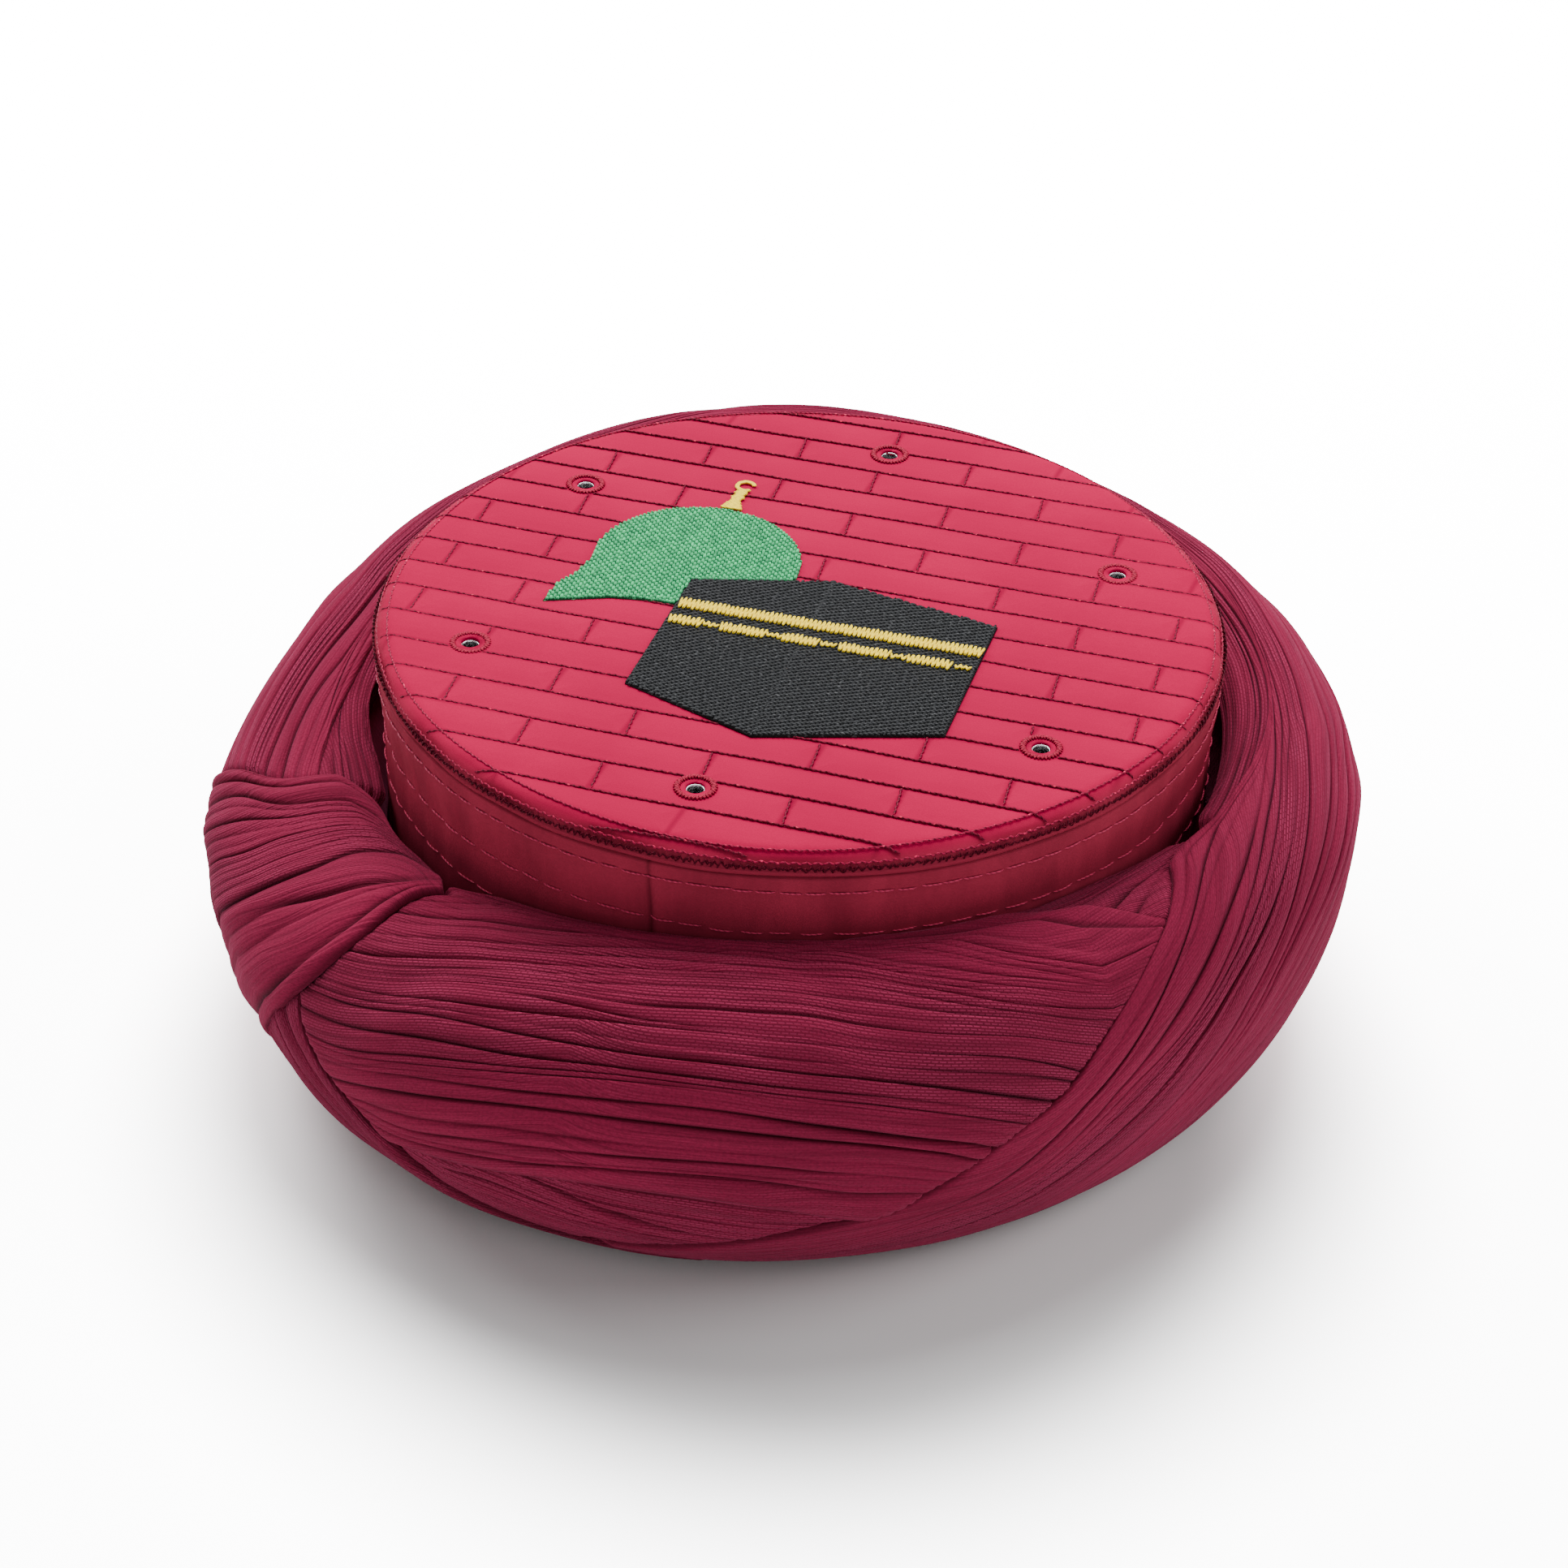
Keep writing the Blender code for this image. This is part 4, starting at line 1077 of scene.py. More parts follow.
def pleated(name, edges):
    """Bearing, roll, depth, painted shade, dash share and UV of a pleated turn.

    The turn is divided across by the valleys of its measured folds, and between them into pleats whose
    widths swell and shrink along it. Each pleat rises gently from its lower valley to a crest and falls
    steeply into the upper one, or the other way round, and the depth of every valley comes and goes
    along the turn. The first and last columns roll the edge under.
    """
    _, deep, spread, seed, face, backward_share = PLEAT_ROWS[name]
    low_bearing, low_roll, high_bearing, high_roll, _ = edges
    rng = np.random.default_rng(seed)
    middle_b, middle_r = (low_bearing + high_bearing) / 2, (low_roll + high_roll) / 2
    travel = np.append(0, np.cumsum(ring_strides(middle_b, middle_r)))
    width = np.hypot((high_bearing - low_bearing) * MM_PER_BEARING, (high_roll - low_roll) * MM_PER_ROLL)

    places, depths, pleats, dash_shares = measured_folds(name, edges, width)
    total = pleats.sum()
    share = np.exp(spread * rng.normal(size=total))[:, None]
    share = share * np.exp(0.3 * waves(seed + 1, total, travel, WIDTH_BEATS))
    band = np.repeat(np.arange(len(pleats)), pleats)
    gone = np.cumsum(share, axis=0) - share
    first = np.append(0, np.cumsum(pleats)[:-1])
    whole = np.add.reduceat(share, first, axis=0)
    valleys = places[band] + (places[band + 1] - places[band]) * (gone - gone[first][band]) / whole[band]
    valleys = np.concatenate([valleys, places[-1:]])
    span = (valleys[1:] - valleys[:-1]) * width
    room = np.clip(np.minimum(span[1:], span[:-1]) / 1.7, 0.12, 1)
    grade = rng.choice(VALLEY_GRADES, total + 1, p=GRADE_SHARES)[:, None]
    depth = deep * grade * np.clip(0.72 + 0.7 * waves(seed + 2, total + 1, travel, VALLEY_BEATS), 0.12, 1.2)
    depth[first] = depths[:-1] * np.clip(1 + 0.25 * waves(seed + 5, len(first), travel, FOLD_BEATS), 0.6, 1.3)
    depth[-1] = depths[-1]
    depth[1:-1] *= room
    backward = (rng.uniform(size=total) < backward_share)[:, None, None]

    part = np.array(PLEAT_PLACES)[None, :, None]
    (steep, gentle), (steep_back, gentle_back) = pleat_sides(part), pleat_sides(1 - part)
    lower, upper = depth[:-1, None], depth[1:, None]
    drop = np.where(backward, lower * gentle_back + upper * steep_back, lower * steep + upper * gentle)
    # Painted shade: the parts of a pleat next to its valleys are marked for darkening, the more so the deeper the
    # valley
    edge_mark = np.clip(1 - np.minimum(part / SHADE_LOW, (1 - part) / SHADE_HIGH), 0, 1)
    mark = edge_mark * np.clip(np.where(part < 0.5, lower, upper) / SHADE_DEPTH, 0.0, 1.0)
    crown = np.minimum(CROWN_SHARE * span, CROWN_MOST)[:, None] * np.sin(math.pi * part) ** 0.75
    place = valleys[:-1, None] + (valleys[1:] - valleys[:-1])[:, None] * part
    sway = waves(seed + 3, 1, travel, FACE_BEATS)[0] * 2.5
    swell = SWELL_HEIGHT * np.sin(2 * math.pi * place * width / SWELL_SPACING + sway)

    squeeze = np.clip(width / np.percentile(width, 70), 0.3, 1.0)
    place = np.concatenate([place.reshape(-1, len(travel)), np.ones((1, len(travel)))]).T
    drop = np.concatenate([(drop - crown - swell).reshape(-1, len(travel)), depth[-1:]]).T
    painted_shade = np.concatenate([mark.reshape(-1, len(travel)), 0 * depth[-1:]]).T
    relief = drop * squeeze[:, None]
    dashes = np.repeat(dash_shares[band], len(PLEAT_PLACES))
    dashes = np.concatenate([np.full(len(HEM_SIDE), dashes[0]), dashes, np.full(len(HEM_SIDE) + 1, dashes[-1])])

    side, under = np.array(HEM_SIDE), np.array(HEM_DEPTH)
    hem = side[None, :] / np.maximum(width, 8)[:, None]
    place = np.concatenate([hem, place, 1 - hem[:, ::-1]], axis=1)
    ends = np.broadcast_to(under, hem.shape)
    depth_all = np.concatenate([ends, relief, ends[:, ::-1]], axis=1) + face
    # Painted shade on the rolled-under edges
    painted_shade = np.concatenate([0 * hem + 0.5, painted_shade, 0 * hem + 0.5], axis=1)

    bearing = low_bearing[:, None] + (high_bearing - low_bearing)[:, None] * place
    roll = low_roll[:, None] + (high_roll - low_roll)[:, None] * place
    to_end = np.minimum(travel, travel[-1] - travel)[:, None]
    depth_all = depth_all + END_DIVE * (1 - ease(to_end / END_RUN))
    points = ring_point(bearing, roll, depth_all)
    strides = np.linalg.norm(np.diff(points, axis=1), axis=2)
    across = np.append(np.zeros((len(travel), 1)), np.cumsum(strides, axis=1), axis=1)
    across = across - across[:, across.shape[1] // 2][:, None]
    uv = np.stack([np.broadcast_to(travel[:, None] * MM, across.shape), across], axis=-1)
    return bearing, roll, depth_all, painted_shade, dashes[None, :], uv


def covered(depth, bearing, roll, covers):
    """Pushes a turn down where a later turn lies over it."""
    for outline in covers:
        depth = depth + COVER_DIVE * ease((inside_by(outline, bearing, roll) + COVER_LEAD) / COVER_RUN)
    return np.minimum(depth, DEEPEST)


def make_turn(name, edges, covers, material):
    """A turn's cloth with its pleats, pushed down under the turns that lie over it."""
    bearing, roll, depth, painted_shade, dashes, uv = pleated(name, edges)
    grid = ring_point(bearing, roll, covered(depth, bearing, roll, covers))
    crosses = name in ("side_fold", "side_strip", "corner_tuck")
    piece = grid_piece(name + "_cloth", grid, material, uv, {"painted_shade": painted_shade, "dashes": dashes}, flip=not crosses)
    if name != "side_strip":
        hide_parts(name)


class TurbanOperator:
    bl_options = {"REGISTER", "UNDO"}


class TURBAN_OT_round_turns(TurbanOperator, bpy.types.Operator):
    """The turns that run round the ring: outer, front, inner, lower and middle."""

    bl_idname = "turban.round_turns"
    bl_label = "Round turns"

    def execute(self, context):
        # The inner turn gets a slightly darker copy of the cloth, painted shade
        cloth, inner = turn_cloth("turn cloth"), turn_cloth("inner turn cloth", 0.95)
        edges = {
            "outer_turn": long_edges(OUTER_ROWS, BROAD_STEP),
            "front_turn": long_edges(FRONT_ROWS, FINE_STEP),
            "inner_turn": long_edges(INNER_ROWS, BROAD_STEP),
            "lower_turn": long_edges(LOWER_ROWS, FINE_STEP),
            "middle_turn": long_edges(MIDDLE_ROWS, FINE_STEP),
        }
        border = {name: outline_of(edge) for name, edge in edges.items()}
        border["side_fold"] = outline_of(cross_edges(SIDE_ROWS, BORDER_STEP))
        border["side_strip"] = outline_of(cross_edges(STRIP_ROWS, BORDER_STEP))
        over = {
            "outer_turn": ("side_fold",),
            "front_turn": ("outer_turn", "side_fold", "side_strip"),
            "inner_turn": ("outer_turn", "side_fold"),
            "lower_turn": ("front_turn", "outer_turn", "side_fold", "side_strip"),
            "middle_turn": ("lower_turn", "front_turn", "outer_turn"),
        }
        for name, edge in edges.items():
            covers = [border[other] for other in over[name]]
            make_turn(name, edge, covers, inner if name == "inner_turn" else cloth)
        return {"FINISHED"}


class TURBAN_OT_crossing_folds(TurbanOperator, bpy.types.Operator):
    """The side fold and the corner tuck, which cross the ring to the wall."""

    bl_idname = "turban.crossing_folds"
    bl_label = "Crossing folds"

    def execute(self, context):
        cloth = turn_cloth("turn cloth")
        side = cross_edges(SIDE_ROWS, FOLD_STEP)
        make_turn("side_fold", side, [], cloth)
        make_turn("side_strip", cross_edges(STRIP_ROWS, FOLD_STEP), [outline_of(side)], cloth)
        covers = [outline_of(long_edges(rows, FINE_STEP)) for rows in (INNER_ROWS, FRONT_ROWS, OUTER_ROWS)]
        make_turn("corner_tuck", cross_edges(CORNER_ROWS, TUCK_STEP), covers, cloth)
        return {"FINISHED"}


class TURBAN_OT_under_layers(TurbanOperator, bpy.types.Operator):
    """The hidden layers: a closed ring with flat pleats, which rests on the floor."""

    bl_idname = "turban.under_layers"
    bl_label = "Under layers"

    def execute(self, context):
        steps = 240
        bearing = np.linspace(-180, 180, steps, endpoint=False)[:, None]
        roll = np.linspace(*UNDER_ROLLS, 120)[None, :]
        around = (bearing + 180) * math.pi / 180
        broad = 0.35 * np.sin(roll * 0.55 + 1.5 * np.sin(2 * around))
        narrow = 0.2 * np.sin(roll * 1.3 + 2 * np.cos(3 * around))
        body = ring_point(bearing, roll, UNDER_DEPTH - (broad + narrow))
        angle = np.radians(bearing)

        def hoop(radius, height):
            return np.stack([radius * np.cos(angle), radius * np.sin(angle), height + 0 * angle], axis=-1)

        top = ring_value(bearing, "edge_z") * MM - UNDER_DROP * MM
        base = [hoop(RING_INSIDE * MM, top), *(hoop(radius * MM, z * MM) for radius, z in UNDER_FOOT_ROWS)]
        lip = ring_point(bearing, np.array([UNDER_LIP_ROLLS], float), 0.4)
        grid = np.concatenate([*base, lip, body], axis=1)
        reach, spacing = UNDER_UV
        u = np.arange(steps + 1)[:, None] * (2 * math.pi * reach / steps)
        v = np.arange(grid.shape[1] + 1)[None, :] * spacing
        uv = np.stack(np.broadcast_arrays(u, v), axis=-1)
        # Painted shade: the hidden layers get a darker copy of the cloth and an even mark of painted shade
        cloth, marks = turn_cloth("under layer cloth", 0.7), {"painted_shade": 0.25, "dashes": 0.4}
        piece = grid_piece("under_layers_cloth", grid, cloth, uv, marks, True, True, flip=True)
        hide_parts("under_layers")
        return {"FINISHED"}


# Cap


def top_height(radius):
    """Height of the top's face in millimetres at a radius: flat, then a rounded shoulder."""
    over = np.clip(radius - (TOP_RADIUS - SHOULDER), 0, SHOULDER - 0.1)
    return TOP_Z - SHOULDER + np.sqrt(SHOULDER**2 - over**2)


class TURBAN_OT_cap_top(TurbanOperator, bpy.types.Operator):
    """The flat top: a profile of radius and height turned about the upright axis, with its edge rolled under."""

    bl_idname = "turban.cap_top"
    bl_label = "Cap top"

    def execute(self, context):
        steps = 288
        rounding = [89.7, 89.95, 90.15, 90.28, 90.4]
        face = np.concatenate([np.linspace(0, 84, 42), np.linspace(85, 89.4, 12), rounding])
        lip = columns(PROFILE_COLUMNS, LIP_ROWS)
        under = np.linspace(84, 0, 12)
        r = np.concatenate([face, lip["radius"], under])
        z = np.concatenate([top_height(face), lip["height"], TOP_UNDERSIDE + 0 * under])
        angle = np.linspace(0, 2 * math.pi, steps, endpoint=False)[:, None]
        sag = 0.22 * np.sin(2 * angle + 0.6) * (r / 90) ** 2 * (z > 90)
        uneven = 0.22 * np.sin(17 * angle + 2 * np.sin(3 * angle)) * ((r > 88) & (z < 90.5))
        rr = r[None, :] + uneven
        grid = np.stack([rr * np.cos(angle), rr * np.sin(angle), z + sag], axis=-1) * MM
        grid[:, 0] = grid[:, 0].mean(axis=0)
        grid[:, -1] = grid[:, -1].mean(axis=0)
        # Painted shade: marks the shoulder, the more the further it has turned down below the flat top
        edge = np.clip((91.9 - z) / 2.2, 0, 1) * (r > 86)
        piece = grid_piece("cap_top_cloth", grid, top_cloth(), None, {"painted_shade": edge}, closed_rows=True)
        holes = [self.hole(x, y, number) for number, (x, y) in enumerate(eyelet_centres(), 1)]
        for hole in holes:
            cut = piece.modifiers.new("Eyelet hole", "BOOLEAN")
            cut.operation, cut.solver, cut.object = "DIFFERENCE", "EXACT", hole
        bake_modifiers(piece)
        for hole in holes:
            bpy.data.objects.remove(hole)
        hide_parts("cap_top")
        return {"FINISHED"}

    def hole(self, x, y, number, steps=24):
        """A plain cylinder through the top, with its ends closed."""
        angle = np.linspace(0, 2 * math.pi, steps, endpoint=False)
        ring = np.stack([x + EYELET_HOLE * np.cos(angle), y + EYELET_HOLE * np.sin(angle)], axis=1)
        grid = np.stack([np.column_stack([ring, np.full(steps, h)]) for h in (TOP_Z - 6, TOP_Z + 3)], axis=1) * MM
        faces, _ = grid_faces(steps, 2, True)
        caps = np.stack([np.arange(steps)[::-1] * 2, np.arange(steps) * 2 + 1])
        mesh = bpy.data.meshes.new(f"hole_{number}")
        mesh.from_pydata(grid.reshape(-1, 3).tolist(), [], faces.tolist() + caps.tolist())
        obj = bpy.data.objects.new(f"hole_{number}", mesh)
        bpy.context.scene.collection.objects.link(obj)
        return obj


def bake_modifiers(obj):
    """Gives the object the mesh that its modifiers make, and removes them."""
    graph = bpy.context.evaluated_depsgraph_get()
    graph.update()
    result = obj.evaluated_get(graph)
    made = bpy.data.meshes.new_from_object(result, preserve_all_data_layers=True, depsgraph=graph)
    obj.modifiers.clear()
    obj.data = made


def eyelet_centres():
    """Places of the eyelets: even steps round a circle, from the back."""
    angle = np.radians(90 + np.arange(EYELET_COUNT) * 360 / EYELET_COUNT)
    return np.stack([EYELET_CIRCLE * np.cos(angle), EYELET_CIRCLE * np.sin(angle)], axis=1)


class TURBAN_OT_eyelets(TurbanOperator, bpy.types.Operator):
    """Eyelets: a small metal tube with a rolled rim and a flange, and a ring of thread round it."""

    bl_idname = "turban.eyelets"
    bl_label = "Eyelets"

    def execute(self, context):
        profile = columns(PROFILE_COLUMNS, EYELET_ROWS)
        r, z = profile["radius"], profile["height"]
        angle = np.linspace(0, 2 * math.pi, 32, endpoint=False)[:, None]
        colours = context.scene.turban_colours
        rings = []
        for number, (x, y) in enumerate(eyelet_centres(), 1):
            grid = np.stack([x + r * np.cos(angle), y + r * np.sin(angle), z + 0 * angle], axis=-1) * MM
            piece = grid_piece(f"eyelet_{number}_metal", grid, metal_material(), None, None, True, True, flip=True)
            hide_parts(f"eyelet_{number}")
            rings.append(self.thread_ring(x, y, number))
        thread = thread_material("eyelet thread", colours.ring, 0.5, 0.1)
        ring = thread_piece("eyelet_threads", rings, EYELET_THREAD * MM, thread, closed=True)
        return {"FINISHED"}

    def thread_ring(self, x, y, number):
        """A ring of radial zigzag stitches between two radii."""
        step = np.arange(EYELET_STITCHES * 6)
        angle = step * 2 * math.pi / len(step) + number
        swing = np.abs((step / 6) % 1 * 2 - 1)
        radius = EYELET_THREAD_INNER + EYELET_THREAD_WIDTH * ease(swing)
        height = TOP_Z + 0.1 + 0.22 * np.sin(math.pi * swing)
        return np.stack([x + radius * np.cos(angle), y + radius * np.sin(angle), height], axis=1) * MM


class TURBAN_OT_top_stitching(TurbanOperator, bpy.types.Operator):
    """Threads on the top: courses with staggered joints, two rings near the edge, and a coiled edge thread."""

    bl_idname = "turban.top_stitching"
    bl_label = "Top stitching"

    def execute(self, context):
        scene = context.scene
        sizes, colours = scene.turban_sizes, scene.turban_colours
        course, joint = sizes.course / MM, sizes.joint / MM
        thread = thread_material("pattern thread", colours.stitch, glint=0.9, deep=0.4)
        rng = np.random.default_rng(5)
        paths = []
        for row in range(COURSE_COUNT):
            y = FIRST_COURSE_Y - course * row
            half = math.sqrt(COURSE_REACH**2 - y * y)
            line = np.array([[-half, y], [half, y]])
            paths.append(self.stitched(line, rng))
            low = y - course
            for number in range(-3, 4):
                x = joint * (number + (0.5 if row % 2 else 0.0)) + JOINT_OFFSET
                lean = JOINT_LEAN * course / 2
                ends = np.array([[x - lean, y - 0.5], [x + lean, low + 0.5]])
                if np.hypot(*ends.T).max() < JOINT_REACH:
                    paths.append(self.stitched(ends, rng))
        paths = [path for path in paths if path is not None]
        piece = thread_piece("course_threads", paths, sizes.thread, thread, lump=sizes.lump)

        angle = np.linspace(0, 2 * math.pi, 3600, endpoint=False)
        rings = []
        for radius, wander, lean in EDGE_RING_ROWS:
            swing = 0.09 * np.sin(angle * 260)
            r = np.minimum(radius + wander * np.sin(2 * angle + lean) * np.cos(3 * angle) + swing, 90.1)
            z = top_height(r) + 0.14
            rings.append(np.stack([r * np.cos(angle), r * np.sin(angle), z], axis=1)[::3] * MM)
        # Lit and shaded copies of the pattern thread's colour: the rings near the edge get a paler one, painted
        # light, and the coil under the rim a darker one, painted shade
        lit_stitch, shaded_stitch = (tuple(gain * channel for channel in colours.stitch) for gain in (1.8, 0.45))
        pale = thread_material("ring thread", lit_stitch, glint=0.9, deep=0.4)
        piece = thread_piece("edge_ring_threads", rings, 0.9 * sizes.thread, pale, closed=True, lump=sizes.lump)

        dark = thread_material("edge thread", shaded_stitch, specular=0.05)
        coiled = [self.coil(*row) for row in EDGE_COIL_ROWS]
        piece = thread_piece("edge_coil_thread", coiled, EDGE_THREAD * MM, dark, sides=4, closed=True)
        return {"FINISHED"}

    def coil(self, turns, reach, seed):
        """An uneven coil of thread round the lower rim of the top, whose loops swell and lean."""
        around = np.linspace(0, 2 * math.pi, turns * 9, endpoint=False)
        uneven = waves(seed, 2, around * TOP_RADIUS, (31, 7.3, 2.9))
        spin = around * turns + 1.5 * uneven[0]
        swell = reach * (1 + 0.3 * uneven[1])
        r = TOP_RADIUS + 0.02 + 0.35 * swell * np.cos(spin)
        z = TOP_Z - 3.0 + 0.95 * swell * np.sin(spin)
        return np.stack([r * np.cos(around), r * np.sin(around), z], axis=1) * MM

    def stitched(self, line, rng):
        """A slightly wandering zigzag of stitches over the top along a straight line."""
        points, gone = along(line, 0.45)
        direction = (line[1] - line[0]) / np.linalg.norm(line[1] - line[0])
        normal = np.array([-direction[1], direction[0]])
        phase, beat = rng.uniform(0, 6.28, 3), 2 * math.pi / PATTERN_BEAT
        drift = 0.2 * np.sin(gone / 13 + phase[0]) + 0.08 * np.sin(gone / 5.1 + phase[1])
        swing = 0.1 * np.sin(beat * gone + phase[2])
        points = points + normal * (drift + swing)[:, None]
        radius = np.hypot(*points.T)
        keep = np.ones(len(points), bool)
        for x, y in eyelet_centres():
            keep &= np.hypot(points[:, 0] - x, points[:, 1] - y) > EYELET_ROOM
        for outline in (np.array(CUBE_OUTLINE, float), dome_outline()):
            keep &= ~inside_polygon(outline, points)
        height = top_height(radius) + 0.1 + 0.05 * np.sin(beat * gone / 2 + phase[2])
        if keep.sum() < 6:
            return None
        first, last = np.flatnonzero(keep)[[0, -1]]
        height = np.where(keep, height, TOP_Z - 0.6)
        return np.column_stack([points, height])[first : last + 1] * MM


def inside_polygon(outline, points):
    """True for the points inside a closed outline."""
    inside = np.zeros(len(points), bool)
    for (x0, y0), (x1, y1) in zip(outline, np.roll(outline, -1, axis=0)):
        if y0 != y1:
            crosses = (points[:, 1] >= y0) != (points[:, 1] >= y1)
            inside ^= crosses & (points[:, 0] < x0 + (points[:, 1] - y0) * (x1 - x0) / (y1 - y0))
    return inside


def arc(centre, radius, start, end, steps):
    """Points on a circle between two angles in degrees."""
    angle = np.radians(np.linspace(start, end, steps + 1))
    return np.stack([centre[0] + radius * np.cos(angle), centre[1] + radius * np.sin(angle)], axis=1)


def dome_outline():
    """The dome, its flared foot, and the cube's edge that cuts it off."""
    dome = arc(DOME_CENTRE, DOME_RADIUS, *DOME_ARC, 40)
    (left, top_left), (right, top_right) = CUBE_OUTLINE[:2]
    edge = top_left + (top_right - top_left) / (right - left) * (dome[:, 0] - left)
    dome = dome[(dome[:, 0] < left) | (dome[:, 1] > edge)]
    edge_end = top_left + (top_right - top_left) / (right - left) * (DOME_END_X - left)
    behind = [(left, -7.4), (left, top_left), (DOME_END_X, edge_end)]
    return np.concatenate([dome, np.array(DOME_FOOT, float), np.array(behind)])


class TURBAN_OT_cap_wall(TurbanOperator, bpy.types.Operator):
    """The upright wall with its seam and wrinkles, and rows of running stitches."""

    bl_idname = "turban.cap_wall"
    bl_label = "Cap wall"

    def execute(self, context):
        colours, sizes = context.scene.turban_colours, context.scene.turban_sizes
        angle = np.radians(np.linspace(-180, 180, 720, endpoint=False))[:, None]
        z = np.concatenate([[0.0, 0.4], np.linspace(4, 60, 10), np.linspace(61, 86.5, 40)])[None, :]
        radius = self.wall_radius(np.degrees(angle), z)
        inside = columns(PROFILE_COLUMNS, WALL_INSIDE_ROWS)
        r = np.concatenate([radius, inside["radius"] + 0 * angle], axis=1)
        heights = np.concatenate([z + 0 * angle, inside["height"] + 0 * angle], axis=1)
        grid = np.stack([r * np.cos(angle), r * np.sin(angle), heights], axis=-1) * MM
        # Painted shade: darker in the seam's pressed groove and at the wall's top edge, under the top's lip
        seam = self.seam_bump(np.degrees(angle), 0, 0.5) * 0.5
        shade = np.clip((heights - 86.2) / 0.8, 0, 1) ** 2 * 0.5
        marks = {"painted_shade": np.clip(seam + shade, 0, 1)}
        piece = grid_piece("cap_wall_cloth", grid, wall_cloth(), None, marks, True, True)
        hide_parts("cap_wall")

        bright = thread_material("running thread", colours.running, 0.35, 0.7)
        stitches = []
        for height, share, gap, seed in WALL_STITCH_ROWS:
            stitches += self.row(height, sizes.running_stitch / MM * share, gap, seed)
        piece = thread_piece("wall_stitches", stitches, WALL_THREAD * MM, bright)
        return {"FINISHED"}

    def seam_bump(self, bearing, beside, width):
        """A bell curve beside the seam: 1 at a bearing that many degrees from it, with a width in millimetres."""
        off = (bearing - SEAM_BEARING - beside) * WALL_MM_PER_BEARING
        return np.exp(-((off / width) ** 2))

    def wall_radius(self, bearing, z):
        """Radius of the wall: a cylinder with a pressed seam, wrinkles that die out upwards and downwards, and
        a furrow under each of the two upper rows of stitches.
        """
        seam = 0.25 * self.seam_bump(bearing, 1.1, 0.9) - 0.5 * self.seam_bump(bearing, 0, 0.45)
        fade = ease((86 - z) / 8) * ease((z - 55) / 8)
        wrinkle = 0.16 * np.sin(bearing * 0.9 + 0.05 * z) * np.sin(bearing * 0.17 + 1)
        wrinkle = wrinkle + 0.1 * np.sin(bearing * 0.31 + 2)
        near = 0.3 * np.exp(-(((bearing + 104) / 3.0) ** 2)) * np.sin(z * 0.18)
        upper, lower = (np.exp(-((z - row[0]) ** 2)) for row in WALL_STITCH_ROWS[:2])
        pull = -0.16 * upper - 0.12 * lower
        return WALL_RADIUS - 0.1 + 0.85 * ease((z - 73) / 9) + (seam + wrinkle + near) * fade + pull

    def row(self, height, length, gap, seed):
        """Running stitches round the wall, each a short thread that dips in at its ends."""
        rng = np.random.default_rng(seed)
        count = int(2 * math.pi * WALL_RADIUS / (length + gap))
        share = np.linspace(0, 1, 7)
        stitches = []
        for number in range(count):
            start = (number + rng.uniform(-0.08, 0.08)) * 360 / count
            bearing = start + share * length * (1 + rng.uniform(-0.1, 0.1)) / (WALL_RADIUS * math.pi / 180)
            z = height + 0.9 * math.cos(math.radians(start + 90)) + rng.uniform(-0.12, 0.12)
            z = z + share * rng.uniform(-0.2, 0.2)
            r = self.wall_radius((bearing + 180) % 360 - 180, z)
            r = r + 0.02 + 0.22 * np.sin(math.pi * share) ** 0.6
            angle = np.radians(bearing)
            stitches.append(np.stack([r * np.cos(angle), r * np.sin(angle), z], axis=1) * MM)
        return stitches


# Embroidery


def filling(outline, angle, length, pitch, seed, stagger=0.37):
    """Starts and ends of filling stitches inside an outline: parallel rows at an angle, each row shifted on."""
    turn = math.radians(angle)
    along_way = np.array([math.cos(turn), math.sin(turn)])
    across_way = np.array([-math.sin(turn), math.cos(turn)])
    rng = np.random.default_rng(seed)
    u, v = outline @ along_way, outline @ across_way
    starts, ends = [], []
    for number, level in enumerate(np.arange(v.min() + pitch / 2, v.max(), pitch)):
        v2, u2 = np.roll(v, -1), np.roll(u, -1)
        hit = (v > level) != (v2 > level)
        crossing = np.sort(u[hit] + (level - v[hit]) * (u2[hit] - u[hit]) / (v2[hit] - v[hit]))
        for low, high in zip(crossing[::2], crossing[1::2]):
            shift = (number * stagger % 1) * length
            first, last = math.floor((low - shift) / length), math.ceil((high - shift) / length)
            marks = np.arange(first, last + 1) * length + shift
            marks = np.clip(marks + rng.uniform(-0.12, 0.12, len(marks)) * length, low, high)
            keep = np.diff(marks) > 0.35
            for side, values in ((starts, marks[:-1][keep]), (ends, marks[1:][keep])):
                side.append(values[:, None] * along_way + level * across_way)
    return np.concatenate(starts), np.concatenate(ends)


def stitch_arrays(starts, ends, base, rise, half_width):
    """Points and faces of many stitches: each is a low arched strip, thin at both ends."""
    share = np.array([0.0, 0.12, 0.38, 0.62, 0.88, 1.0])
    lift = np.array([-0.25, 0.55, 1.0, 1.0, 0.55, -0.25])
    slim = np.array([0.2, 0.8, 1.0, 1.0, 0.8, 0.2])
    side = np.array([-1.0, -0.62, 0.62, 1.0])
    crown = np.array([-0.55, 0.75, 0.75, -0.55])
    run = ends - starts
    length = np.linalg.norm(run, axis=1)[:, None]
    normal = np.stack([-run[:, 1], run[:, 0]], axis=1) / length
    middle = starts[:, None] + run[:, None] * share[None, :, None]
    spread = slim[None, :, None, None] * side[None, None, :, None] * half_width
    flat = middle[:, :, None] + normal[:, None, None] * spread
    height = base[:, None, None] + rise * lift[None, :, None] * 0.6 + rise * crown[None, None, :] * 0.6
    points = np.concatenate([flat, height[..., None]], axis=-1)
    faces, _ = grid_faces(len(share), len(side))
    faces = (np.arange(len(starts))[:, None, None] * len(share) * len(side) + faces[None]).reshape(-1, 4)
    return points.reshape(-1, 3) * MM, faces


